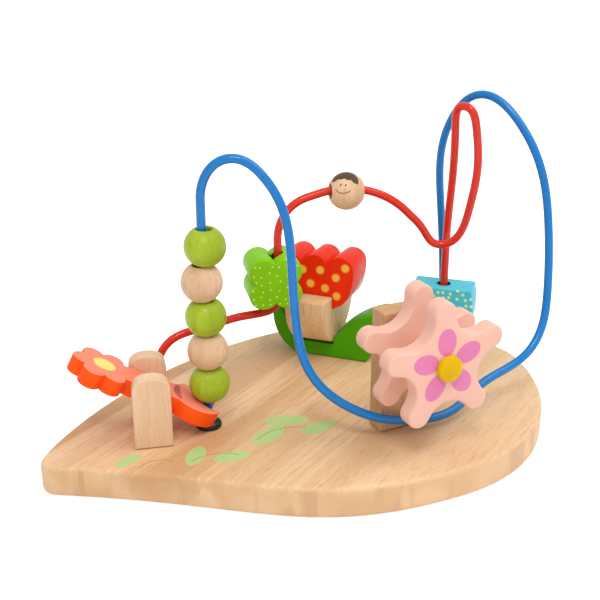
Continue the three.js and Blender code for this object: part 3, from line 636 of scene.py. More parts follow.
@dataclass(frozen=True)
class Coat:
    """A smooth glossy coat of plastic on a wire or a moulding."""

    colour: Colour
    deep: Colour
    rough: float
    gloss: float = 0.4
    gloss_rough: float = 0.1
    specular: float = 0.15
    clouds: float = 45.0
    smoother: float = 0.05
    rougher: float = 0.07

    def material(self, name: str) -> Material:
        """Makes the finish.

        Args:
            name: The material's name.

        Returns:
            The material.
        """
        tree = Surface(name)
        cloud = tree.noise(tree.place, self.clouds, 4.0)
        depth = tree.ramp(cloud, 0.3, 0.7, 0.0, 0.35)
        tree.set("Base Color", tree.blend(depth, self.colour, self.deep))
        smooth, coarse = self.rough - self.smoother, self.rough + self.rougher
        tree.set("Roughness", tree.ramp(cloud, 0.2, 0.8, smooth, coarse))
        tree.set("Coat Weight", self.gloss)
        tree.set("Coat Roughness", self.gloss_rough)
        tree.set("Specular IOR Level", self.specular)
        return tree.material


@dataclass(frozen=True)
class Steel:
    """Plain drawn steel."""

    colour: Colour = srgb(170, 170, 168)
    deep: Colour = srgb(135, 135, 134)
    drawn: Point3 = (900.0, 900.0, 120.0)

    def material(self, name: str) -> Material:
        """Makes the finish.

        Args:
            name: The material's name.

        Returns:
            The material.
        """
        tree = Surface(name)
        fine = tree.figure(tree.place, self.drawn, 3.0)
        tree.set("Base Color", tree.blend(fine, self.colour, self.deep))
        tree.set("Roughness", tree.ramp(fine, 0.2, 0.8, 0.28, 0.45))
        tree.set("Metallic", 1.0)
        return tree.material


# Shapes


class Outline:
    """A closed flat outline, gathered from arcs and smooth curves."""

    def __init__(self) -> None:
        """Starts with no points."""
        self.points: list[Vector] = []

    def add(self, points: list[Vector]) -> "Outline":
        """Adds points and drops those that repeat the last one.

        Args:
            points: Flat points in order.

        Returns:
            The outline.
        """
        for point in points:
            if not self.points or (point - self.points[-1]).length > SAME_POINT:
                self.points.append(point)
        return self

    def to(self, *corners: Point2) -> "Outline":
        """Adds straight corners and returns the outline."""
        return self.add([Vector((*corner, 0.0)) for corner in corners])

    def arc(self, centre: Point2, radius: float, first: float, last: float,
            steps: int) -> "Outline":
        """Adds a round arc.

        Args:
            centre: The arc's centre.
            radius: Its radius.
            first: Its first angle.
            last: Its last angle.
            steps: The number of chords.

        Returns:
            The outline.
        """
        turn = Matrix.Rotation((last - first) / steps, 4, "Z")
        middle = Vector((*centre, 0.0))
        spoke = Matrix.Rotation(first, 4, "Z") @ Vector((radius, 0.0, 0.0))
        points = []
        for _ in range(steps + 1):
            points.append(middle + spoke)
            spoke = turn @ spoke
        return self.add(points)

    def curve(self, handle: Point2, other: Point2, end: Point2, steps: int = 20) -> "Outline":
        """Adds a smooth curve from the last point.

        Args:
            handle: The handle near the last point.
            other: The handle near the end.
            end: The end.
            steps: The number of chords.

        Returns:
            The outline.
        """
        knots = [Vector((*place, 0.0)) for place in (handle, other, end)]
        points = interpolate_bezier(self.points[-1], *knots, steps + 1)
        return self.add([point.copy() for point in points])

    def bend(self, handle: Point2, end: Point2, steps: int = 16) -> "Outline":
        """Adds a smooth curve with a single handle.

        Args:
            handle: The handle between the last point and the end.
            end: The end.
            steps: The number of chords.

        Returns:
            The outline.
        """
        pull = Vector((*handle, 0.0))
        first = self.points[-1].lerp(pull, 2.0 / 3.0)
        second = Vector((*end, 0.0)).lerp(pull, 2.0 / 3.0)
        return self.curve(first.xy[:], second.xy[:], end, steps)


def rosette(lobes: int, radius: float, reach: float, start: float, steps: int) -> Outline:
    """Draws round lobes that meet in sharp valleys.

    Args:
        lobes: The number of lobes.
        radius: A lobe's radius.
        reach: From the middle to a lobe's centre.
        start: The first lobe's angle.
        steps: Chords for each lobe.

    Returns:
        The outline.
    """
    step = FULL_TURN / lobes
    valley = reach * math.cos(step / 2) + math.sqrt(radius ** 2 - (reach * math.sin(step / 2)) ** 2)
    spread = math.atan2(valley * math.sin(step / 2), valley * math.cos(step / 2) - reach)
    outline = Outline()
    for index in range(lobes):
        heading = start + index * step
        centre = (reach * math.cos(heading), reach * math.sin(heading))
        outline.arc(centre, radius, heading - spread, heading + spread, steps)
    return outline


def offset(x: float = 0.0, y: float = 0.0, z: float = 0.0) -> Matrix:
    """Returns a move."""
    return Matrix.Translation((x, y, z))


def rotation(degrees: float, axis: str) -> Matrix:
    """Returns a turn about an axis through the origin."""
    return Matrix.Rotation(math.radians(degrees), 4, axis)


def stand(x: float, y: float, heading: float, height: float = 0.0) -> Matrix:
    """Returns the place of a group on the board, with its heading in degrees."""
    return offset(x, y, BOARD_TOP + height) @ rotation(heading, "Z")


def along_x(place: Matrix) -> Matrix:
    """Returns a place that lays a rod along X."""
    return place @ rotation(90.0, "Y")


def along_y(place: Matrix) -> Matrix:
    """Returns a place that lays a rod along Y."""
    return place @ rotation(-90.0, "X")


def placed(bm: Mesh, place: Matrix) -> Mesh:
    """Moves a mesh and returns it."""
    bmesh.ops.transform(bm, matrix=place, verts=bm.verts[:])
    return bm


def sawn(outline: Outline, thickness: float, rounding: float, segments: int = 4) -> Mesh:
    """Saws a slab from an outline and rounds its two rims.

    Args:
        outline: The flat outline.
        thickness: The slab's thickness, from z = 0 up.
        rounding: The rims' radius.
        segments: Chords across a rim.

    Returns:
        The slab.
    """
    bm = bmesh.new()
    points = outline.points
    if (points[0] - points[-1]).length < SAME_POINT:
        points = points[:-1]
    face = bm.faces.new([bm.verts.new(point) for point in points])
    raised = bmesh.ops.extrude_face_region(bm, geom=[face])
    top = [item for item in raised["geom"] if isinstance(item, bmesh.types.BMVert)]
    bmesh.ops.translate(bm, verts=top, vec=(0.0, 0.0, thickness))
    bmesh.ops.recalc_face_normals(bm, faces=bm.faces[:])
    rims = [edge for edge in bm.edges if abs(edge.verts[0].co.z - edge.verts[1].co.z) < MERGE_REACH]
    bmesh.ops.bevel(bm, geom=rims, offset=rounding, affect="EDGES", segments=segments, profile=0.5,
                    material=-1, clamp_overlap=True)
    return bm


def upright(bm: Mesh, thickness: float) -> Mesh:
    """Stands a slab up in the XZ plane, centred on y = 0, and returns it."""
    return placed(bm, rotation(90.0, "X") @ offset(z=-thickness / 2))


def turned(profile: list[Point2], steps: int = 56) -> Mesh:
    """Turns a half profile about Z.

    Args:
        profile: Pairs of radius and height, in order; one that starts off the axis is closed.
        steps: Chords round the piece.

    Returns:
        The turned piece.
    """
    bm = bmesh.new()
    verts = [bm.verts.new((radius, 0.0, height)) for radius, height in profile]
    edges = [bm.edges.new(pair) for pair in zip(verts, verts[1:])]
    if profile[0][0] > MERGE_REACH:
        edges.append(bm.edges.new((verts[-1], verts[0])))
    bmesh.ops.spin(bm, geom=verts + edges, cent=ORIGIN, axis=UP, angle=FULL_TURN, steps=steps,
                   use_merge=True)
    bmesh.ops.remove_doubles(bm, verts=bm.verts[:], dist=MERGE_REACH)
    bmesh.ops.recalc_face_normals(bm, faces=bm.faces[:])
    return bm


def rod(radius: float, low: float, high: float, steps: int = 40) -> Mesh:
    """Makes a round rod along Z.

    Args:
        radius: Its radius.
        low: The height of its lower end.
        high: The height of its upper end.
        steps: Chords round the rod.

    Returns:
        The rod.
    """
    bm = bmesh.new()
    bmesh.ops.create_cone(bm, cap_ends=True, segments=steps, radius1=radius, radius2=radius,
                          depth=high - low, matrix=offset(z=(low + high) / 2))
    return bm


def pilot(x: float, y: float, reach: float) -> Mesh:
    """Returns the tool for a screw's pilot hole in a piece that stands on the board."""
    return placed(rod(PILOT_RADIUS, -OVERCUT, reach + RUNNING_GAP, steps=20), offset(x, y))


def linked(name: str, data: bpy.types.ID) -> bpy.types.Object:
    """Puts something into the scene.

    Args:
        name: The object's name.
        data: Its mesh, curve, lamp or camera.

    Returns:
        The object.
    """
    item = bpy.data.objects.new(name, data)
    bpy.context.scene.collection.objects.link(item)
    return item


def meshed(name: str, bm: Mesh) -> bpy.types.Mesh:
    """Makes a mesh of a shape, which is used up.

    Args:
        name: The mesh's name.
        bm: The shape.

    Returns:
        The mesh.
    """
    mesh = bpy.data.meshes.new(name)
    bm.to_mesh(mesh)
    bm.free()
    return mesh


def shape_of(item: bpy.types.Object) -> Mesh:
    """Reads the shape of an object with its modifiers and bevels.

    Args:
        item: The object.

    Returns:
        The shape.
    """
    bm = bmesh.new()
    bm.from_mesh(item.evaluated_get(bpy.context.evaluated_depsgraph_get()).to_mesh())
    return bm


def carved(bm: Mesh, tools: list[Mesh], operation: str = "DIFFERENCE") -> Mesh:
    """Cuts tools out of a mesh, or joins them to it.

    Args:
        bm: The body.
        tools: The closed tools.
        operation: DIFFERENCE to cut, UNION to join.

    Returns:
        The result.
    """
    body, *holders = [linked("passing", meshed("passing", shape)) for shape in (bm, *tools)]
    for holder in holders:
        cut = body.modifiers.new("cut", "BOOLEAN")
        cut.operation = operation
        cut.solver = "EXACT"
        cut.object = holder
    result = shape_of(body)
    for holder in (body, *holders):
        mesh = holder.data
        bpy.data.objects.remove(holder)
        bpy.data.meshes.remove(mesh)
    return result


def piece(name: str, bm: Mesh, material: Material, node: str, body: str,
          shading: Shading = Shading.SAWN) -> None:
    """Finishes a piece: smooth shading, material and body, and hides the solid that it stands for.

    Args:
        name: The piece's name.
        bm: Its mesh, in place.
        material: Its finish.
        node: The solid that it replaces.
        body: The body that it rides on.
        shading: How its edges are shaded.
    """
    mesh = meshed(name, bm)
    mesh.polygons.foreach_set("use_smooth", [True] * len(mesh.polygons))
    mesh.set_sharp_from_angle(angle=math.radians(shading.value))
    mesh.materials.append(material)
    item = linked(name, mesh)
    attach(item, body)
    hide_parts(node)
    LOG.info("%s: %d faces on %s", name, len(mesh.polygons), body)


# Finishes

BOARD_WOOD = StavedWood(srgb(235, 199, 157), srgb(203, 155, 108), grain=Grain.ACROSS_BOARD,
                        figure=0.36, stave=0.044)
POST_WOOD = ClearWood(srgb(242, 210, 177), srgb(223, 182, 144), shift=0.31, figure=0.2)
FLOWER_POST_WOOD = ClearWood(srgb(220, 178, 136), srgb(198, 152, 108), shift=0.43)
BEAD_WOOD = ClearWood(srgb(230, 193, 157), srgb(209, 166, 128), shift=0.73, rough=0.42, figure=0.2)
ROCKER_WOOD = ClearWood(srgb(240, 208, 166), srgb(222, 182, 136), shift=0.55)
STAINED = ClearWood(srgb(176, 197, 46), srgb(147, 169, 26), srgb(116, 138, 14), shift=0.2,
                    rough=0.32, figure=0.35)
ORANGE = Paint(srgb(252, 88, 18), srgb(232, 68, 8))
CLOVER_GREEN = Paint(srgb(134, 202, 12), srgb(112, 180, 6))
LEAF_GREEN = Paint(srgb(78, 164, 4), srgb(62, 146, 2))
PINK = Paint(srgb(238, 188, 169), srgb(230, 173, 152))
YELLOW = Paint(srgb(234, 192, 10), srgb(206, 154, 4), veil=0.65)
TURQUOISE = Paint(srgb(84, 198, 214), srgb(56, 180, 198))
TULIP_RED = srgb(240, 46, 4)
TULIP_DEEP = srgb(222, 32, 2)
BLUE_COAT = Coat(srgb(4, 118, 192), srgb(2, 102, 174), 0.28)
RED_COAT = Coat(srgb(218, 44, 22), srgb(192, 30, 12), 0.28)
BLACK = Coat(srgb(24, 22, 22), srgb(14, 13, 13), 0.24)

# Painted shade for the inside of the bores, not the colour of the wood
BORE_SHADE = Ink(srgb(38, 34, 28), 0.9)
PLANK_CORAL = Ink(srgb(250, 138, 110))
PLANK_YELLOW = Ink(srgb(250, 224, 122))
CLOVER_DOT = Ink(srgb(226, 240, 160), 0.9)
POT_DOT = Ink(srgb(226, 240, 176), 0.9)
FACE_BROWN = Ink(srgb(84, 62, 40), 0.9)
HAIR_BROWN = Ink(srgb(56, 40, 32), 0.95)
PETAL_MAGENTA = Ink(srgb(222, 120, 172), 0.92)
TULIP_RING = Ink(srgb(238, 132, 50))
TULIP_CORE = Ink(srgb(252, 184, 74))
SPRIG_GREEN = Ink(srgb(166, 208, 130), 0.8)
SPRIG_BROWN = Ink(srgb(142, 128, 84), 0.75)


# Sub-assemblies


@dataclass
class Foot:
    """Where a wire enters the board."""

    name: str
    x: float
    y: float

    def at(self, height: float = 0.0) -> Vector:
        """Returns the place on the foot's upright at a height above the board."""
        return Vector((self.x, self.y, height))


@dataclass
class Screw:
    """A screw's stepped hole in the board, from below."""

    x: float
    y: float
    radius: float = 0.0018
    head_radius: float = 0.004
    head_top: float = 0.004

    def hole(self) -> Mesh:
        """Shapes the tool that cuts the hole.

        Returns:
            The tool.
        """
        wide, slim = self.head_radius + GLUE_GAP, self.radius + GLUE_GAP
        step = self.head_top + GLUE_GAP
        low, high = -OVERCUT, BOARD_TOP + OVERCUT
        profile = [(0.0, low), (wide, low), (wide, step), (slim, step), (slim, high), (0.0, high)]
        return placed(turned(profile, steps=24), offset(self.x, self.y))


@dataclass
class Seesaw:
    """The flower plank between its two posts."""

    x: float = -0.0906
    y: float = 0.0025
    heading: float = -14.0
    tilt: float = 28.0
    pivot: float = 0.0262
    wire_reach: float = 0.0318
    thickness: float = 0.0095
    width: float = 0.0184
    rim: float = 0.0008
    flower_reach: float = 0.0286
    lobes: int = 6
    lobe_radius: float = 0.0064
    lobe_reach: float = 0.0114
    paddle_radius: float = 0.015
    paddle_reach: float = 0.0265
    neck_lap: float = 0.6
    neck_bend: float = 0.4
    neck_pinch: float = 0.82
    fork_width: float = 0.0144
    fork_room: float = 0.0036
    pin_radius: float = 0.002
    pin_embed: float = 0.006
    post_width: float = 0.0206
    post_thickness: float = 0.0095
    post_height: float = 0.0415
    post_top: float = 0.008
    post_fullness: float = 0.8
    post_rim: float = 0.0012
    side_gap: float = 0.0006
    screw_reach: float = 0.014
    disc_radius: float = 0.0064
    print_reach: float = 0.08
    print_depth: float = 0.0004

    @property
    def place(self) -> Matrix:
        """The group's place on the board."""
        return stand(self.x, self.y, self.heading)

    @property
    def inner(self) -> float:
        """From the middle to a post's inner face."""
        return self.width / 2 + self.side_gap

    def post_middle(self, side: int) -> float:
        """Returns where a post's middle stands across the plank."""
        return side * (self.inner + self.post_thickness / 2)

    def wire_foot(self) -> Vector:
        """Returns where the blue wire enters the board."""
        return self.place @ Vector((self.wire_reach, 0.0, 0.0))

    def screws(self) -> list[Screw]:
        """Returns the screws below the posts."""
        spots = [self.place @ Vector((0.0, self.post_middle(side), 0.0)) for side in (-1, 1)]
        return [Screw(spot.x, spot.y) for spot in spots]

    def build_post(self, name: str, side: int, finish: Material) -> None:
        """Builds one post with its rounded head, its pin socket and its pilot hole.

        Args:
            name: The solid that it stands for.
            side: -1 for the front post, 1 for the rear one.
            finish: Its wood.
        """
        half, top = self.post_width / 2, self.post_height
        shoulder = top - self.post_top
        lift = shoulder + self.post_top * self.post_fullness
        outline = Outline().to((-half, GLUE_GAP), (half, GLUE_GAP), (half, shoulder))
        outline.curve((half, lift), (half / 2, top), (0.0, top))
        outline.curve((-half / 2, top), (-half, lift), (-half, shoulder))
        middle = self.post_middle(side)
        block = upright(sawn(outline, self.post_thickness, self.post_rim), self.post_thickness)
        placed(block, offset(y=middle))
        reach = self.inner + self.pin_embed + GLUE_GAP
        bearing = placed(rod(self.pin_radius + GLUE_GAP, -reach, reach),
                         along_y(offset(z=self.pivot)))
        block = carved(block, [bearing, pilot(0.0, middle, self.screw_reach)])
        piece(f"{name}_block", placed(block, self.place), finish, name, FRAME_BODY)

    def blank(self) -> Mesh:
        """Saws the plank before it is pierced: flower, neck and round paddle.

        Returns:
            The blank.
        """
        half, centre = self.width / 2, -self.flower_reach
        start = centre + self.lobe_reach * self.neck_lap
        end = self.paddle_reach - self.paddle_radius * self.neck_lap
        pinch, bend = half * self.neck_pinch, centre * self.neck_bend
        lobes = rosette(self.lobes, self.lobe_radius, self.lobe_reach, start=0.0, steps=14)
        flower = placed(sawn(lobes, self.thickness, self.rim), offset(x=centre))
        outline = Outline().to((start, -pinch)).bend((bend, -half), (-half, -half))
        outline.to((end, -half), (end, half), (-half, half)).bend((bend, half), (start, pinch))
        disc = Outline().arc((self.paddle_reach, 0.0), self.paddle_radius, 0.0, FULL_TURN, steps=72)
        parts = [sawn(shape, self.thickness, self.rim) for shape in (outline, disc)]
        return carved(flower, parts, "UNION")

    def plank_mesh(self) -> Mesh:
        """Forks the plank for the wire and pierces it for the pin.

        Returns:
            The plank, about its pivot.
        """
        half, slot, deep = self.width / 2, self.fork_width / 2, 2.0 * OVERCUT
        root = self.wire_reach - self.fork_room + slot
        end = self.paddle_reach + self.paddle_radius + OVERCUT
        fork = Outline().to((root, -slot), (end, -slot), (end, slot), (root, slot))
        fork.arc((root, 0.0), slot, QUARTER_TURN, 3.0 * QUARTER_TURN, steps=28)
        mouth = sawn(fork, self.thickness + 2.0 * deep, OVERCUT / 10.0, segments=1)
        placed(mouth, offset(z=-deep))
        bearing = placed(rod(self.pin_radius + RUNNING_GAP, -half - OVERCUT, half + OVERCUT),
                         along_y(offset(z=self.thickness / 2)))
        return placed(carved(self.blank(), [mouth, bearing]), offset(z=-self.thickness / 2))

    def build_plank(self) -> None:
        """Builds the plank with its coral top, orange sides and yellow disc."""
        tilt = self.place @ offset(z=self.pivot) @ rotation(self.tilt, "Y")
        top = self.thickness / 2 - self.print_depth
        rounds = ((PLANK_CORAL, 0.0, self.print_reach),
                  (PLANK_YELLOW, -self.flower_reach, self.disc_radius))
        layers = tuple(Ovals(ink, tilt, top, ((across, 0.0, reach, reach, 0.0),), looks_up=True)
                       for ink, across, reach in rounds)
        piece("seesaw_flower_plank", placed(self.plank_mesh(), tilt),
              ORANGE.material("plank_paint", layers), "seesaw_plank", "seesaw")

    def build(self) -> None:
        """Builds the posts and the plank."""
        wood = POST_WOOD.material("post_wood")
        self.build_post("seesaw_post_front", -1, wood)
        self.build_post("seesaw_post_rear", 1, wood)
        self.build_plank()


@dataclass
class BeadStack:
    """The round beads on the blue riser."""

    foot: Vector
    heading: float
    radius: float = 0.0113
    bore: float = 0.0044
    rim: float = 0.0056
    ease: float = 0.0006
    steps: int = 28
    lowest: float = 0.0269
    shifts: tuple[float, ...] = (0.0015, -0.0009, 0.0006, 0.001, 0.0014)

    @property
    def half(self) -> float:
        """From a bead's middle to the flat of its rim."""
        return math.sqrt(self.radius ** 2 - self.rim ** 2)

    def bead(self) -> Mesh:
        """Turns one bead about Z, its bore eased at both rims.

        Returns:
            The bead.
        """
        lip, edge = self.bore + self.ease, math.asin(self.half / self.radius)
        profile = [(self.bore, -self.half + self.ease), (lip, -self.half)]
        for index in range(self.steps + 1):
            angle = -edge + 2.0 * edge * index / self.steps
            profile.append((self.radius * math.cos(angle), self.radius * math.sin(angle)))
        profile += [(lip, self.half), (self.bore, self.half - self.ease)]
        return turned(profile, steps=64)

    def build(self) -> None:
        """Builds the stack from the top bead down."""
        kinds = (("natural", BEAD_WOOD.material("bead_wood"), NATURAL),
                 ("green", STAINED.material("bead_stain"), "wood_stained_green"))
        place = stand(self.foot.x, self.foot.y, self.heading)
        pitch = 2.0 * self.half + GLUE_GAP
        for number, shift in enumerate(self.shifts, 1):
            kind, finish, slot = kinds[number % 2]
            level = self.lowest + (len(self.shifts) - number) * pitch
            spot = place @ offset(shift, 0.0, level) @ Matrix.Rotation(number, 4, "Z")
            node = f"bead_{number}_{kind}"
            piece(f"{node}_ball", placed(self.bead(), spot), finish, node, f"bead_{number}",
                  Shading.TURNED)


@dataclass
class Wire:
    """A bent wire through stations of place and heading; one without a heading is smoothed."""

    name: str
    slot: str
    stations: list[Station]
    radius: float = 0.0025
    steps: int = 18
    roundness: int = 6

    def headings(self) -> list[Vector]:
        """Settles the headings so that the bend changes evenly from one station to the next.

        Returns:
            The heading at each station.
        """
        places = [place for place, _ in self.stations]
        spans = [(after - before).length for before, after in zip(places, places[1:])]
        result = [heading.normalized() if heading else Vector() for _, heading in self.stations]
        free = [index for index, (_, heading) in enumerate(self.stations) if heading is None]
        for _ in range(SETTLING_ROUNDS):
            for index in free:
                near, far = spans[index - 1], spans[index]
                pull = (places[index] - places[index - 1]) * (far / near)
                pull += (places[index + 1] - places[index]) * (near / far)
                rest = 3.0 * pull - far * result[index - 1] - near * result[index + 1]
                result[index] = rest / (2.0 * (near + far))
        return result

    def route(self) -> bpy.types.Curve:
        """Draws the wire's curve, round in section.

        Returns:
            The curve.
        """
        curve = bpy.data.curves.new(f"{self.name}_route", "CURVE")
        curve.dimensions = "3D"
        curve.resolution_u = self.steps
        curve.bevel_depth = self.radius
        curve.bevel_resolution = self.roundness
        curve.use_fill_caps = True
        points = curve.splines.new("BEZIER").bezier_points
        points.add(len(self.stations) - 1)
        headings = self.headings()
        places = [place + BOARD_TOP * UP for place, _ in self.stations]
        for point, place in zip(points, places):
            point.handle_left_type = point.handle_right_type = "FREE"
            point.co = point.handle_left = point.handle_right = place
        for index in range(1, len(places)):
            turn = headings[index].angle(headings[index - 1])
            reach = (places[index] - places[index - 1]).length / (3.0 * math.cos(turn / 4.0) ** 2)
            points[index - 1].handle_right = places[index - 1] + headings[index - 1] * reach
            points[index].handle_left = places[index] - headings[index] * reach
        return curve

    def build(self, finish: Coat) -> None:
        """Bends the wire and gives it its coat.

        Args:
            finish: The coat.
        """
        curve = self.route()
        holder = linked(curve.name, curve)
        bm = shape_of(holder)
        bpy.data.objects.remove(holder)
        bpy.data.curves.remove(curve)
        bmesh.ops.remove_doubles(bm, verts=bm.verts[:], dist=MERGE_REACH)
        piece(f"{self.name}_coated", bm, finish.material(f"{self.name}_coat"), self.name,
              FRAME_BODY, Shading.BENT)


@dataclass
class Collars:
    """The black collars at the wires' feet."""

    feet: list[Foot]
    radius: float = 0.0074
    height: float = 0.0046
    lip: float = 0.0012
    ease: float = 0.0004
    shank: float = 0.0042
    embed: float = 0.009
    bore: float = 0.0028
    steps: int = 12

    def sockets(self) -> list[Mesh]:
        """Returns the tools for the sockets that the collars need in the board."""
        low = BOARD_TOP - self.embed - GLUE_GAP
        return [placed(rod(self.shank + GLUE_GAP, low, BOARD_TOP + OVERCUT), offset(foot.x, foot.y))
                for foot in self.feet]

    def build(self) -> None:
        """Builds each collar as a low dome on a shank."""
        finish = BLACK.material("collar_plastic")
        profile = [(self.bore, -self.embed), (self.shank, -self.embed), (self.shank, GLUE_GAP),
                   (self.radius - self.ease, GLUE_GAP), (self.radius, GLUE_GAP + self.ease)]
        for index in range(1, self.steps):
            angle = index / self.steps * QUARTER_TURN
            profile.append((self.bore + (self.radius - self.bore) * math.cos(angle),
                            self.lip + (self.height - self.lip) * math.sin(angle)))
        profile.append((self.bore, self.height))
        for foot in self.feet:
            dome = placed(turned(profile, steps=48), offset(foot.x, foot.y, BOARD_TOP))
            piece(f"{foot.name}_dome", dome, finish, foot.name, FRAME_BODY,
                  Shading.TURNED)


@dataclass
class Clover:
    """The four-lobed bead on the red wire."""

    x: float = 0.0054
    y: float = 0.0418
    height: float = 0.063
    heading: float = -13.6
    side_shift: float = 0.0034
    bore_offset: float = 0.0022
    bore: float = 0.0043
    bore_reach: float = 0.03
    lobes: int = 4
    lobe_radius: float = 0.009
    lobe_reach: float = 0.0099
    depth: float = 0.026
    rim: float = 0.0015
    dot_spacing: float = 0.005
    dot_radius: float = 0.00054

    def build(self) -> None:
        """Builds the clover with its bore and its strewn dots."""
        place = stand(self.x, self.y, self.heading, self.height) @ offset(x=-self.side_shift)
        outline = rosette(self.lobes, self.lobe_radius, self.lobe_reach, start=QUARTER_TURN / 2,
                          steps=22)
        bore = placed(rod(self.bore, -self.bore_reach, self.bore_reach), offset(x=self.bore_offset))
        block = carved(upright(sawn(outline, self.depth, self.rim), self.depth), [bore])
        dots = Dots(CLOVER_DOT, place, -self.depth / 2, self.dot_spacing, self.dot_radius)
        # Painted shade on the wall of the clover's bore
        bore_shade = PaintedBoreShade(BORE_SHADE, place, self.bore_offset, self.bore)
        piece("clover_block", placed(block, place),
              CLOVER_GREEN.material("clover_paint", (dots, bore_shade)), "clover_bead", "clover")


@dataclass
class Pot:
    """The flat pot-shaped bead on the red wire's rear riser."""

    x: float = 0.1169
    y: float = 0.0275
    heading: float = -43.0
    lift: float = 0.0049
    bore: float = 0.0043
    top_width: float = 0.038
    belly_width: float = 0.041
    foot_width: float = 0.025
    height: float = 0.04
    belly_drop: float = 0.012
    foot_fullness: float = 0.3
    depth: float = 0.02
    rim: float = 0.0015
    dot_spacing: float = 0.0046
    dot_radius: float = 0.001

    def build(self) -> None:
        """Builds the pot with its bore and pale dots."""
        foot, belly, top = self.foot_width / 2, self.belly_width / 2, self.top_width / 2
        shoulder, brow = self.height - self.belly_drop, self.height - self.belly_drop / 2
        flare = self.height * self.foot_fullness
        outline = Outline().to((-foot, 0.0), (foot, 0.0)).bend((belly, flare), (belly, shoulder))
        outline.bend((belly, brow), (top, self.height)).to((-top, self.height))
        outline.bend((-belly, brow), (-belly, shoulder)).bend((-belly, flare), (-foot, 0.0))
        place = stand(self.x, self.y, self.heading, self.lift)
        bore = rod(self.bore, -OVERCUT, self.height + OVERCUT)
        block = carved(upright(sawn(outline, self.depth, self.rim), self.depth), [bore])
        dots = Dots(POT_DOT, place, -self.depth / 2, self.dot_spacing, self.dot_radius)
        # Painted shade on the wall of the pot's bore
        bore_shade = PaintedBoreShade(BORE_SHADE, place, 0.0, self.bore)
        piece("pot_block", placed(block, place), TURQUOISE.material("pot_paint", (dots, bore_shade)),
              "pot_bead", "pot")


@dataclass
class RedArch:
    """The round arch of the red wire and the painted ball that glides on it."""

    x: float = 0.0054
    y: float = 0.0418
    heading: float = -14.8
    ahead: float = 0.0404
    radius: float = 0.0554
    centre: float = 0.0605
    ball_angle: float = 1.5
    ball_hang: float = 0.0014
    face_heading: float = -40.0
    face_lift: float = 20.0
    face_depth: float = -0.004
    eye_across: float = 0.0015
    eye_level: float = 0.0025
    eye_half: Point2 = (0.0005, 0.00085)
    smile: Arc = (0.0, 0.0037, 0.006, 0.00026, -2.41, -0.73)

    def station(self, degrees: float, rise: float = 0.0) -> tuple[Vector, Vector]:
        """Finds a station on the arch.

        Args:
            degrees: The angle from the crown.
            rise: How far outside the circle it is.

        Returns:
            The place above the board and the heading.
        """
        angle = math.radians(degrees)
        turn = rotation(self.heading, "Z")
        reach = self.radius + rise
        across, up = math.sin(angle), math.cos(angle)
        flat = Vector((self.ahead + reach * across, 0.0, self.centre + reach * up))
        heading = turn @ Vector((up, 0.0, -across))
        return Vector((self.x, self.y, 0.0)) + turn @ flat, heading

    def build_ball(self, beads: BeadStack) -> None:
        """Builds the ball with a plain smiling face and painted hair.

        Args:
            beads: Gives the ball's shape.
        """
        middle, _ = self.station(self.ball_angle, -self.ball_hang)
        spot = Matrix.Translation(middle + BOARD_TOP * UP)
        lay = spot @ rotation(self.heading, "Z") @ rotation(self.ball_angle + 90.0, "Y")
        look = spot @ rotation(self.face_heading, "Z") @ rotation(-self.face_lift, "X")
        eyes = tuple((side * self.eye_across, self.eye_level, *self.eye_half, 0.0)
                     for side in (-1, 1))
        prints = (Hair(HAIR_BROWN, look), Ovals(FACE_BROWN, look, self.face_depth, eyes),
                  Arcs(FACE_BROWN, look, self.face_depth, (self.smile,)))
        piece("head_ball", placed(beads.bead(), lay), BEAD_WOOD.material("ball_wood", prints),
              "head_bead", "head", Shading.TURNED)


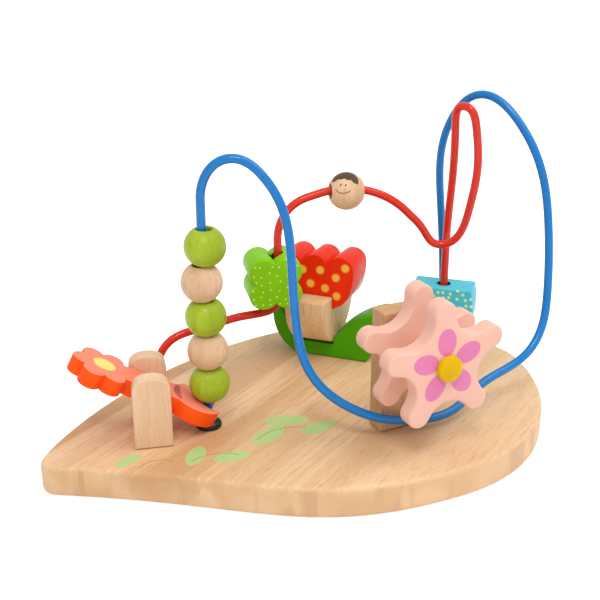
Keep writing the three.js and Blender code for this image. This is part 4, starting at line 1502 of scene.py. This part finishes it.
@dataclass
class Flowers:
    """The two spinning flowers on their post."""

    x: float = 0.0382
    front: float = -0.055
    post_width: float = 0.031
    post_depth: float = 0.013
    post_height: float = 0.0715
    post_rim: float = 0.0015
    post_corner: float = 0.0012
    axle: float = 0.054
    axle_radius: float = 0.0035
    axle_embed: float = 0.009
    thickness: float = 0.01
    rim: float = 0.0013
    petals: int = 5
    petal_reach: float = 0.0362
    tip_radius: float = 0.0064
    valley_reach: float = 0.0203
    front_turn: float = 5.0
    oval_reach: float = 0.0132
    oval_lift: float = 0.001
    oval_half: Point2 = (0.0077, 0.0056)
    oval_depth: float = 0.0008
    rear_spacer: float = 0.0028
    middle_spacer: float = 0.0144
    spacer_radius: float = 0.008
    ease: float = 0.0004
    hub_radius: float = 0.007
    hub_height: float = 0.0036
    hub_round: float = 0.0012
    hub_crown: float = 0.0001
    hub_embed: float = 0.002
    screw_reach: float = 0.014

    @property
    def place(self) -> Matrix:
        """The axle's place at the post's front face."""
        return stand(self.x, self.front, 0.0, self.axle)

    def before(self, back: float) -> Matrix:
        """Returns the axle's place at a distance before the post."""
        return self.place @ offset(y=-back)

    def screws(self) -> list[Screw]:
        """Returns the screws below the post."""
        return [Screw(self.x + side * self.post_width / 4, self.front + self.post_depth / 2)
                for side in (-1, 1)]

    def petal_outline(self) -> Outline:
        """Draws the flower, one petal up.

        Returns:
            The outline.
        """
        half = math.pi / self.petals
        tip = self.petal_reach - self.tip_radius
        valley_radius = ((tip ** 2 + self.valley_reach ** 2 - self.tip_radius ** 2
                          - 2.0 * tip * self.valley_reach * math.cos(half))
                         / (2.0 * (self.tip_radius + tip * math.cos(half) - self.valley_reach)))
        valley = self.valley_reach + valley_radius
        lean = math.atan2(valley * math.sin(half), valley * math.cos(half) - tip)
        outline = Outline()
        for index in range(self.petals):
            petal = QUARTER_TURN + 2.0 * half * index
            hollow = petal + half
            outline.arc((tip * math.cos(petal), tip * math.sin(petal)), self.tip_radius,
                        petal - lean, petal + lean, steps=18)
            outline.arc((valley * math.cos(hollow), valley * math.sin(hollow)), valley_radius,
                        petal + lean + math.pi, hollow + half - lean + math.pi, steps=14)
        return outline

    def build_post(self) -> None:
        """Builds the post with its axle socket and pilot holes."""
        half, middle = self.post_width / 2, self.post_depth / 2
        outline = Outline().to((-half, GLUE_GAP), (half, GLUE_GAP), (half, self.post_height),
                               (-half, self.post_height))
        block = sawn(outline, self.post_depth, self.post_rim)
        corners = [edge for edge in block.edges
                   if (edge.verts[0].co - edge.verts[1].co).to_2d().length < MERGE_REACH
                   and edge.calc_length() > middle]
        bmesh.ops.bevel(block, geom=corners, offset=self.post_corner, affect="EDGES", segments=3,
                        profile=0.5, material=-1)
        placed(upright(block, self.post_depth), offset(y=middle))
        socket = placed(rod(self.axle_radius + GLUE_GAP, -OVERCUT, self.axle_embed + GLUE_GAP),
                        along_y(offset(z=self.axle)))
        pilots = [pilot(side * self.post_width / 4, middle, self.screw_reach) for side in (-1, 1)]
        block = placed(carved(block, [socket, *pilots]), stand(self.x, self.front, 0.0))
        piece("flower_post_block", block, FLOWER_POST_WOOD.material("flower_post_wood"),
              "flower_post", FRAME_BODY)

    def build_flower(self, node: str, body: str, back: float, turn: float,
                     finish: Material) -> None:
        """Builds one flower.

        Args:
            node: The solid that it stands for.
            body: The body that it rides on.
            back: From the post to its back face.
            turn: Its turn on the axle in degrees.
            finish: Its paint.
        """
        blank = upright(sawn(self.petal_outline(), self.thickness, self.rim), self.thickness)
        bore = placed(rod(self.axle_radius + RUNNING_GAP, -self.thickness, self.thickness),
                      along_y(Matrix()))
        place = self.before(back + self.thickness / 2) @ rotation(-turn, "Y")
        piece(f"{node}_blossom", placed(carved(blank, [bore]), place), finish, node, body)

    def build_ring(self, node: str, back: float, length: float, finish: Material) -> None:
        """Builds one distance ring.

        Args:
            node: The solid that it stands for.
            back: From the post to its back face.
            length: Its length along the axle.
            finish: Its wood.
        """
        bore, rim, ease = self.axle_radius + GLUE_GAP, self.spacer_radius, self.ease
        profile = [(bore, 0.0), (rim - ease, 0.0), (rim, ease), (rim, length - ease),
                   (rim - ease, length), (bore, length)]
        ring = placed(turned(profile, steps=48), self.before(back) @ rotation(90.0, "X"))
        piece(f"{node}_ring", ring, finish, node, FRAME_BODY)

    def build_hub(self, back: float) -> None:
        """Builds the yellow cap on the axle's end.

        Args:
            back: From the post to its back face.
        """
        bore, deep = self.axle_radius + GLUE_GAP, self.hub_embed + GLUE_GAP
        rim, top = self.hub_radius, self.hub_height
        profile = [(0.0, deep), (bore, deep), (bore, 0.0), (rim, 0.0), (rim, top - self.hub_round),
                   (rim - self.ease, top - self.ease), (rim - self.hub_round, top),
                   (0.0, top + self.hub_crown)]
        cap = placed(turned(profile), self.before(back) @ rotation(90.0, "X"))
        piece("flower_hub_cap", cap, YELLOW.material("hub_paint"), "flower_hub", FRAME_BODY,
              Shading.TURNED)

    def petal_print(self, back: float) -> Ovals:
        """Draws the magenta ovals on the front flower.

        Args:
            back: From the post to the flower's back face.

        Returns:
            The print.
        """
        ovals = []
        for index in range(self.petals):
            angle = math.radians(90.0 + self.front_turn) + FULL_TURN * index / self.petals
            across, up = self.oval_reach * math.cos(angle), self.oval_reach * math.sin(angle)
            ovals.append((across, up + self.oval_lift, *self.oval_half, angle))
        face = self.before(back + self.thickness / 2)
        return Ovals(PETAL_MAGENTA, face, -self.thickness / 2 + self.oval_depth, tuple(ovals))

    def build(self) -> None:
        """Builds the post, the axle with its rings and hub, and both flowers."""
        self.build_post()
        wood = ROCKER_WOOD.material("axle_wood")
        rear_ring = GLUE_GAP
        rear = rear_ring + self.rear_spacer + RUNNING_GAP
        middle_ring = rear + self.thickness + RUNNING_GAP
        front = middle_ring + self.middle_spacer + RUNNING_GAP
        hub = front + self.thickness + RUNNING_GAP
        self.build_ring("flower_spacer_rear", rear_ring, self.rear_spacer, wood)
        self.build_ring("flower_spacer_middle", middle_ring, self.middle_spacer, wood)
        self.build_flower("flower_rear", "rear_flower", rear, 0.0,
                          PINK.material("rear_flower_paint"))
        self.build_flower("flower_front", "front_flower", front, self.front_turn,
                          PINK.material("front_flower_paint", (self.petal_print(front),)))
        self.build_hub(hub)
        axle = placed(rod(self.axle_radius, -hub - self.hub_embed, self.axle_embed),
                      along_y(self.place))
        piece("flower_axle_dowel", axle, wood, "flower_axle", FRAME_BODY)


@dataclass
class Tulip:
    """The tulip on its half-round rocker in the leaf cradle."""

    x: float = 0.0432
    y: float = 0.0596
    heading: float = -46.0
    lean: float = 4.0
    back_rock: float = 5.0
    front_rock: float = 9.0
    pin_height: float = 0.0125
    pin_radius: float = 0.002
    pin_embed: float = 0.008
    rocker_radius: float = 0.033
    rocker_centre: float = 0.0295
    rocker_width: float = 0.025
    rim: float = 0.0011
    depth: float = 0.03
    height: float = 0.026
    lap: float = 0.008
    lobe_radius: float = 0.0087
    lobe_lap: float = 0.0004
    flare: float = 0.003
    flare_width: float = 0.8
    paint_drop: float = 0.006
    paint_climb: float = 0.55
    dot_ring: float = 0.0029
    dot_core: float = 0.0022
    dot_depth: float = 0.0006
    dots: tuple[Point2, ...] = (
        (-0.0192, 0.0145), (-0.0128, 0.006), (-0.0075, 0.0158), (-0.002, 0.0072), (0.0042, 0.0166),
        (0.0078, 0.0052), (0.0146, 0.0128), (0.0155, 0.0008), (0.0205, 0.0195))
    dowel_radius: float = 0.003
    dowel_half: float = 0.008
    cradle_depth: float = 0.02
    cradle_rim: float = 0.0014
    foot_left: float = -0.012
    foot_right: float = 0.035
    notch: float = 0.013
    left_horn: Point2 = (-0.027, 0.037)
    left_hollow: Point2 = (0.72, 0.6)
    left_belly: Point2 = (1.2, 0.55)
    left_heel: Point2 = (0.9, 0.12)
    right_horn: Point2 = (0.044, 0.035)
    right_tuck: float = 0.002
    right_swell: float = 0.4
    right_hollow: float = 0.012
    right_scoop: float = 0.85
    screw_spread: float = 0.02
    screw_reach: float = 0.006

    @property
    def place(self) -> Matrix:
        """The cradle's place on the board."""
        return stand(self.x, self.y, self.heading)

    @property
    def rocker_place(self) -> Matrix:
        """The rocker's place: at its pin, leaning back."""
        return self.place @ offset(z=self.pin_height) @ rotation(-self.lean, "X")

    def screws(self) -> list[Screw]:
        """Returns the screws below the cradle."""
        spots = [self.place @ Vector((across, 0.0, 0.0)) for across in (0.0, self.screw_spread)]
        return [Screw(spot.x, spot.y) for spot in spots]

    def dowel_hole(self) -> Mesh:
        """Returns the room of the dowel between rocker and tulip."""
        half = self.dowel_half + GLUE_GAP
        return placed(rod(self.dowel_radius + GLUE_GAP, -half, half), offset(z=self.rocker_centre))

    def build_rocker(self) -> None:
        """Builds the half-round rocker."""
        outline = Outline()
        outline.arc((0.0, self.rocker_centre), self.rocker_radius, math.pi, FULL_TURN, steps=64)
        block = upright(sawn(outline, self.rocker_width, self.rim), self.rocker_width)
        placed(block, rotation(90.0, "Z"))
        bearing = placed(rod(self.pin_radius + RUNNING_GAP, -self.rocker_width, self.rocker_width),
                         along_x(Matrix()))
        block = carved(block, [bearing, self.dowel_hole()])
        piece("tulip_rocker_block", placed(block, self.rocker_place),
              ROCKER_WOOD.material("rocker_wood"), "tulip_rocker", "tulip")

    def tulip_outline(self, seat: float) -> Outline:
        """Draws the tulip: three round lobes on a cup that laps over the rocker's sides.

        Args:
            seat: The height of the rocker's flat top with its glue.

        Returns:
            The outline.
        """
        side = self.rocker_width / 2 + GLUE_GAP
        lip = seat - self.lap
        level = seat + self.height - self.lobe_radius
        spacing = 2.0 * self.lobe_radius - self.lobe_lap
        wide = spacing + self.lobe_radius
        belly = (wide * self.flare_width, lip + self.flare)
        meet = math.acos(spacing / 2 / self.lobe_radius)
        outline = Outline().to((side, seat), (side, lip)).curve(belly, (wide, seat), (wide, level))
        for middle, first, last in ((spacing, 0.0, math.pi - meet), (0.0, meet, math.pi - meet),
                                    (-spacing, meet, math.pi)):
            outline.arc((middle, level), self.lobe_radius, first, last, steps=18)
        return outline.curve((-wide, seat), (-belly[0], belly[1]), (-side, lip)).to((-side, seat))

    def build_tulip(self) -> None:
        """Builds the tulip, dotted on its face and bare on its lower sides."""
        seat = self.rocker_centre + GLUE_GAP
        place, face = self.rocker_place, -self.depth / 2
        block = upright(sawn(self.tulip_outline(seat), self.depth, self.rim), self.depth)
        prints = []
        for ink, radius in ((TULIP_RING, self.dot_ring), (TULIP_CORE, self.dot_core)):
            dots = tuple((across, seat + up, radius, radius, 0.0) for across, up in self.dots)
            prints.append(Ovals(ink, place, face + self.dot_depth, dots))
        paint = PartPaint(colour=TULIP_RED, deep=TULIP_DEEP, wood=ROCKER_WOOD, place=place,
                          face=face, line=seat - self.paint_drop, climb=self.paint_climb)
        piece("tulip_block", placed(carved(block, [self.dowel_hole()]), place),
              paint.material("tulip_paint", tuple(prints)), "tulip", "tulip")

    def cradle_outline(self) -> Outline:
        """Draws the leaf, with a notch as wide as the rocker.

        Returns:
            The outline.
        """
        left_x, left_z = self.left_horn
        right_x, right_z = self.right_horn
        half, foot = self.rocker_width / 2, (self.foot_left, GLUE_GAP)
        hollow, belly, heel = [
            (left_x * across, left_z * up)
            for across, up in (self.left_hollow, self.left_belly, self.left_heel)]
        outline = Outline().to(foot, (self.foot_right, GLUE_GAP))
        outline.bend((right_x - self.right_tuck, right_z * self.right_swell), self.right_horn)
        outline.bend((half + self.right_hollow, right_z * self.right_scoop), (half, self.notch))
        outline.to((-half, self.notch)).bend(hollow, self.left_horn)
        return outline.curve(belly, heel, foot)

    def build_cradle(self) -> None:
        """Builds the leaf-shaped cradle with its saddle for the rocker."""
        block = upright(sawn(self.cradle_outline(), self.cradle_depth, self.cradle_rim),
                        self.cradle_depth)
        side = self.rocker_width / 2 + RUNNING_GAP
        tools = []
        for rock in (-self.back_rock, 0.0, self.front_rock):
            lean = math.radians(self.lean - rock)
            centre = offset(0.0, self.rocker_centre * math.sin(lean),
                            self.pin_height + self.rocker_centre * math.cos(lean))
            tools.append(placed(rod(self.rocker_radius + RUNNING_GAP, -side, side, steps=128),
                                along_x(centre)))
        reach = side + self.pin_embed + GLUE_GAP
        tools.append(placed(rod(self.pin_radius + GLUE_GAP, -reach, reach),
                            along_x(offset(z=self.pin_height))))
        tools += [pilot(across, 0.0, self.screw_reach) for across in (0.0, self.screw_spread)]
        piece("leaf_cradle_block", placed(carved(block, tools), self.place),
              LEAF_GREEN.material("leaf_paint"), "leaf_cradle", FRAME_BODY)

    def build(self) -> None:
        """Builds the cradle, the rocker and the tulip."""
        self.build_cradle()
        self.build_rocker()
        self.build_tulip()


@dataclass
class Board:
    """The leaf-shaped board of glued staves with its pale printed sprigs."""

    length: float = 0.308
    front_reach: float = 0.1065
    back_reach: float = 0.099
    widest: float = 0.197
    tip_radius: float = 0.009
    tip_offset: float = 0.0035
    tip_front: float = 30.7
    tip_back: float = 64.0
    tip_front_fullness: float = 0.57
    tip_back_fullness: float = 0.073
    front_shoulder: float = 0.46
    back_shoulder: float = 0.554
    end_fullness: float = 0.77
    end_roundness: float = 0.19
    rounding: float = 0.003
    print_depth: float = 0.0004
    leaves: tuple[Oval, ...] = (
        (-0.034, -0.030, 0.0125, 0.0062, 0.5), (-0.018, -0.019, 0.0125, 0.0062, -0.35),
        (-0.005, -0.034, 0.0115, 0.0056, 0.15), (-0.078, -0.033, 0.0100, 0.0050, 0.9),
        (-0.061, -0.042, 0.0100, 0.0050, -0.1), (-0.112, -0.022, 0.0080, 0.0042, 0.4),
        (0.072, -0.012, 0.0120, 0.0060, 0.7), (0.088, -0.001, 0.0120, 0.0060, -0.2))
    stems: tuple[Arc, ...] = (
        (-0.026, -0.050, 0.024, 0.00030, 0.9, 2.3), (-0.072, -0.055, 0.020, 0.00030, 0.7, 2.1),
        (0.078, -0.030, 0.026, 0.00030, 0.8, 2.0), (-0.100, -0.040, 0.012, 0.00028, 0.6, 2.4))

    def outline(self) -> Outline:
        """Draws the leaf from its tip.

        Returns:
            The outline.
        """
        tip, end = -self.length / 2, self.length / 2
        wide = tip + self.widest
        front, back = math.radians(self.tip_front), math.radians(self.tip_back)
        centre = Vector((tip + self.tip_radius, -self.tip_offset))
        front_leave = centre - self.tip_radius * Vector((math.sin(front), math.cos(front)))
        back_leave = centre + self.tip_radius * Vector((-math.sin(back), math.cos(back)))
        front_run, back_run = [share * self.widest
                               for share in (self.tip_front_fullness, self.tip_back_fullness)]
        front_pull = front_leave + front_run * Vector((math.cos(front), -math.sin(front)))
        back_pull = back_leave + back_run * Vector((math.cos(back), math.sin(back)))
        front_handle, back_handle = [wide - share * self.widest
                                     for share in (self.front_shoulder, self.back_shoulder)]
        handle = wide + self.end_fullness * (end - wide)
        near, far = -self.front_reach, self.back_reach
        outline = Outline()
        outline.arc(centre[:], self.tip_radius, QUARTER_TURN + back, 3.0 * QUARTER_TURN - front,
                    steps=14)
        outline.curve(front_pull[:], (front_handle, near), (wide, near), steps=40)
        outline.curve((handle, near), (end, self.end_roundness * near), (end, 0.0), steps=32)
        outline.curve((end, self.end_roundness * far), (handle, far), (wide, far), steps=32)
        return outline.curve((back_handle, far), back_pull[:], back_leave[:], steps=40)

    def build(self, holes: list[Mesh]) -> None:
        """Builds the board and cuts what stands in it.

        Args:
            holes: The tools for sockets and screws.
        """
        face = BOARD_TOP - self.print_depth
        prints = (Ovals(SPRIG_GREEN, Matrix(), face, self.leaves, looks_up=True),
                  Arcs(SPRIG_BROWN, Matrix(), face, self.stems, looks_up=True))
        blank = sawn(self.outline(), BOARD_TOP, self.rounding, segments=6)
        piece("leaf_board", carved(blank, holes), BOARD_WOOD.material("board_wood", prints),
              "base_board", FRAME_BODY)


def past(origin: Vector, *offsets: Point3) -> list[Station]:
    """Returns smoothed stations at offsets from a place on the board."""
    return [(Vector((origin.x + x, origin.y + y, z)), None) for x, y, z in offsets]


@dataclass
class Routes:
    """The ways of both wires, laid out from what they pass; heights are above the board."""

    seesaw: Seesaw
    arch: RedArch
    pot: Pot
    flowers: Flowers
    embed: float = 0.009
    blue_rear_foot: Point2 = (0.1262, 0.042)
    blue_riser: float = 0.132
    blue_heading: float = -28.0
    blue_crest: Point2 = (0.017, 0.0219)
    blue_descent: tuple[Point3, ...] = (
        (0.0298, -0.0167, 0.143), (0.0375, -0.0217, 0.1254), (0.0398, -0.0261, 0.0957),
        (0.0405, -0.0306, 0.063), (0.0445, -0.0359, 0.0416), (0.0574, -0.0452, 0.0243))
    blue_post_room: float = 0.006
    blue_sweep: tuple[Point3, ...] = (
        (-0.0226, 0.0, 0.0148), (0.0, 0.0, 0.0075), (0.025, -0.001, 0.007), (0.0532, 0.006, 0.0165))
    blue_rear_arch: tuple[Point3, ...] = (
        (-0.0049, -0.0959, 0.0278), (0.007, -0.093, 0.0404), (0.0152, -0.0858, 0.0612),
        (0.0226, -0.0724, 0.0965), (0.0168, -0.0528, 0.147), (0.0031, -0.0228, 0.1668),
        (-0.0043, -0.0025, 0.145), (-0.0049, 0.0009, 0.096))
    blue_rear_riser: float = 0.024
    red_front_foot: Point2 = (-0.071, 0.048)
    red_front_riser: float = 0.016
    red_front_run: tuple[Point3, ...] = (
        (0.008, 0.0, 0.031), (0.027, -0.002, 0.0366), (0.052, -0.0054, 0.041))
    clover_low: float = 0.0495
    clover_high: float = 0.087
    clover_bend: float = 0.008
    clover_entry: Point3 = (1.0, 0.0, 0.1)
    arch_start: Point2 = (-30.0, 0.001)
    arch_angles: tuple[float, ...] = (-16.0, 8.0, 32.0, 46.0)
    arch_end: Point2 = (60.0, 0.0015)
    red_dip: Point3 = (-0.0128, -0.0113, 0.0768)
    red_dip_heading: Point3 = (0.85, -0.5, 0.0)
    red_rise: tuple[Point3, ...] = ((0.0004, -0.0234, 0.1068), (0.0026, -0.0221, 0.1443))
    red_crest: Point3 = (-0.0033, -0.0159, 0.1624)
    red_crest_heading: Point3 = (-0.3, 0.95, 0.0)
    red_fall: Point3 = (-0.0032, -0.0076, 0.1437)
    red_rear_riser: float = 0.074

    @property
    def feet(self) -> list[Foot]:
        """The blue wire's front and rear foot, then the red one's."""
        start = self.seesaw.wire_foot()
        return [Foot("collar_blue_front", start.x, start.y),
                Foot("collar_blue_rear", *self.blue_rear_foot),
                Foot("collar_red_front", *self.red_front_foot),
                Foot("collar_red_rear", self.pot.x, self.pot.y)]

    def blue(self) -> Wire:
        """Leads the blue wire up through the beads, past the flower post and over the rear arch.

        Returns:
            The wire.
        """
        front, rear = self.feet[:2]
        bend = rotation(self.blue_heading, "Z") @ Vector((1.0, 0.0, 0.0))
        ahead, rise = self.blue_crest
        top = front.at(self.blue_riser)
        passing = Vector((self.flowers.x, self.flowers.front - self.blue_post_room, 0.0))
        return Wire("blue_wire", "wire_blue", [
            (front.at(-self.embed), UP),
            (top, UP),
            (top + ahead * bend + rise * UP, bend),
            *past(front.at(), *self.blue_descent),
            *past(passing, *self.blue_sweep),
            *past(rear.at(), *self.blue_rear_arch),
            (rear.at(self.blue_rear_riser), DOWN),
            (rear.at(-self.embed), DOWN),
        ])

    def red(self) -> Wire:
        """Leads the red wire up through the clover, over the round arch and the narrow loop.

        Returns:
            The wire.
        """
        front, rear = self.feet[2:]
        dip, crest, fall = past(rear.at(), self.red_dip, self.red_crest, self.red_fall)
        clover = Vector((self.arch.x, self.arch.y, self.clover_low))
        return Wire("red_wire", "wire_red", [
            (front.at(-self.embed), UP),
            (front.at(self.red_front_riser), UP),
            *past(front.at(), *self.red_front_run),
            (clover - self.clover_bend * Vector((1.0, 0.0, 1.0)), Vector(self.clover_entry)),
            (clover, UP),
            (Vector((self.arch.x, self.arch.y, self.clover_high)), UP),
            self.arch.station(*self.arch_start),
            *[self.arch.station(angle) for angle in self.arch_angles],
            (self.arch.station(*self.arch_end)[0], None),
            (dip[0], Vector(self.red_dip_heading)),
            *past(rear.at(), *self.red_rise),
            (crest[0], Vector(self.red_crest_heading)),
            fall,
            (rear.at(self.red_rear_riser), DOWN),
            (rear.at(-self.embed), DOWN),
        ])


# Studio


@dataclass(frozen=True)
class Lamp:
    """One soft lamp: its name, its place, its size and its power in watts."""

    name: str
    place: Point3
    size: float
    power: float


@dataclass
class Studio:
    """The pale floor, the soft light and the camera."""

    floor_colour: Colour = (0.93, 0.93, 0.93)
    floor_size: float = 6.0
    floor_drop: float = 0.0001
    floor_glow: float = 0.62
    floor_rough: float = 0.9
    sky: float = 0.68
    lamps: tuple[Lamp, ...] = (Lamp("key", (0.5, -0.42, 1.2), 0.9, 7.0),
                               Lamp("front", (-0.36, -0.62, 1.05), 0.3, 4.2))
    aim: Point3 = (0.0, 0.0, 0.05)
    eye: Point3 = (-0.2313, -0.4742, 0.2951)
    pitch: float = 22.0
    turn: float = -26.0
    lens: float = 60.0
    sensor: float = 36.0
    nearest: float = 0.01

    def build_floor(self) -> None:
        """Lays the floor, white to the camera where nothing shades it."""
        bm = bmesh.new()
        bmesh.ops.create_grid(bm, x_segments=1, y_segments=1, size=self.floor_size)
        floor = linked("floor", meshed("floor", bm))
        floor.location.z = -self.floor_drop
        tree = Surface("floor_paper")
        tree.set("Base Color", self.floor_colour)
        tree.set("Roughness", self.floor_rough)
        tree.set("Specular IOR Level", 0.0)
        tree.set("Emission Color", WHITE)
        tree.set("Emission Strength", tree.times(tree.seen(), self.floor_glow))
        floor.data.materials.append(tree.material)

    def build_world(self) -> None:
        """Sets a white surround for the camera and a softer one for the light."""
        world = bpy.data.worlds.new("studio")
        bpy.context.scene.world = world
        world.use_nodes = True
        tree = Nodes(world.node_tree)
        ground = tree.nodes["Background"]
        tree.feed(ground.inputs["Color"], WHITE)
        tree.feed(ground.inputs["Strength"], tree.ramp(tree.seen(), 0.0, 1.0, self.sky, 1.0))

    def build_lamp(self, lamp: Lamp) -> None:
        """Hangs one lamp that faces the toy.

        Args:
            lamp: The lamp to hang.
        """
        light = bpy.data.lights.new(lamp.name, "AREA")
        light.size = lamp.size
        light.energy = lamp.power
        holder = linked(lamp.name, light)
        holder.location = lamp.place
        aim = Vector(self.aim) - Vector(lamp.place)
        holder.rotation_euler = aim.to_track_quat("-Z", "Y").to_euler()

    def build_camera(self) -> None:
        """Stands the camera where the photograph was taken."""
        camera = bpy.data.cameras.new("camera")
        camera.lens = self.lens
        camera.sensor_width = self.sensor
        camera.clip_start = self.nearest
        holder = linked("camera", camera)
        holder.location = self.eye
        holder.rotation_euler = (math.radians(90.0 - self.pitch), 0.0, math.radians(self.turn))
        bpy.context.scene.camera = holder

    def build(self) -> None:
        """Builds the whole studio."""
        bpy.context.scene.view_settings.view_transform = "Standard"
        self.build_floor()
        self.build_world()
        for lamp in self.lamps:
            self.build_lamp(lamp)
        self.build_camera()


def dress_hidden() -> None:
    """Gives the pins, the dowel and the screws their finish."""
    steel = Steel().material("steel")
    wood = ROCKER_WOOD.material("dowel_wood")
    for name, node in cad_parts.items():
        if name.startswith("screw") or name.endswith("pin") or name == "tulip_dowel":
            node.data.materials.clear()
            node.data.materials.append(wood if name == "tulip_dowel" else steel)


def main() -> None:
    """Builds the studio and every sub-assembly in order."""
    logging.basicConfig(level=logging.INFO)
    Studio().build()
    seesaw, arch, pot, flowers, tulip = Seesaw(), RedArch(), Pot(), Flowers(), Tulip()
    routes = Routes(seesaw, arch, pot, flowers)
    collars = Collars(routes.feet)
    beads = BeadStack(seesaw.wire_foot(), seesaw.heading)
    seesaw.build()
    beads.build()
    routes.blue().build(BLUE_COAT)
    routes.red().build(RED_COAT)
    collars.build()
    Clover().build()
    pot.build()
    arch.build_ball(beads)
    flowers.build()
    tulip.build()
    screws = seesaw.screws() + flowers.screws() + tulip.screws()
    Board().build(collars.sockets() + [screw.hole() for screw in screws])
    dress_hidden()


if __name__ == "__main__":
    main()
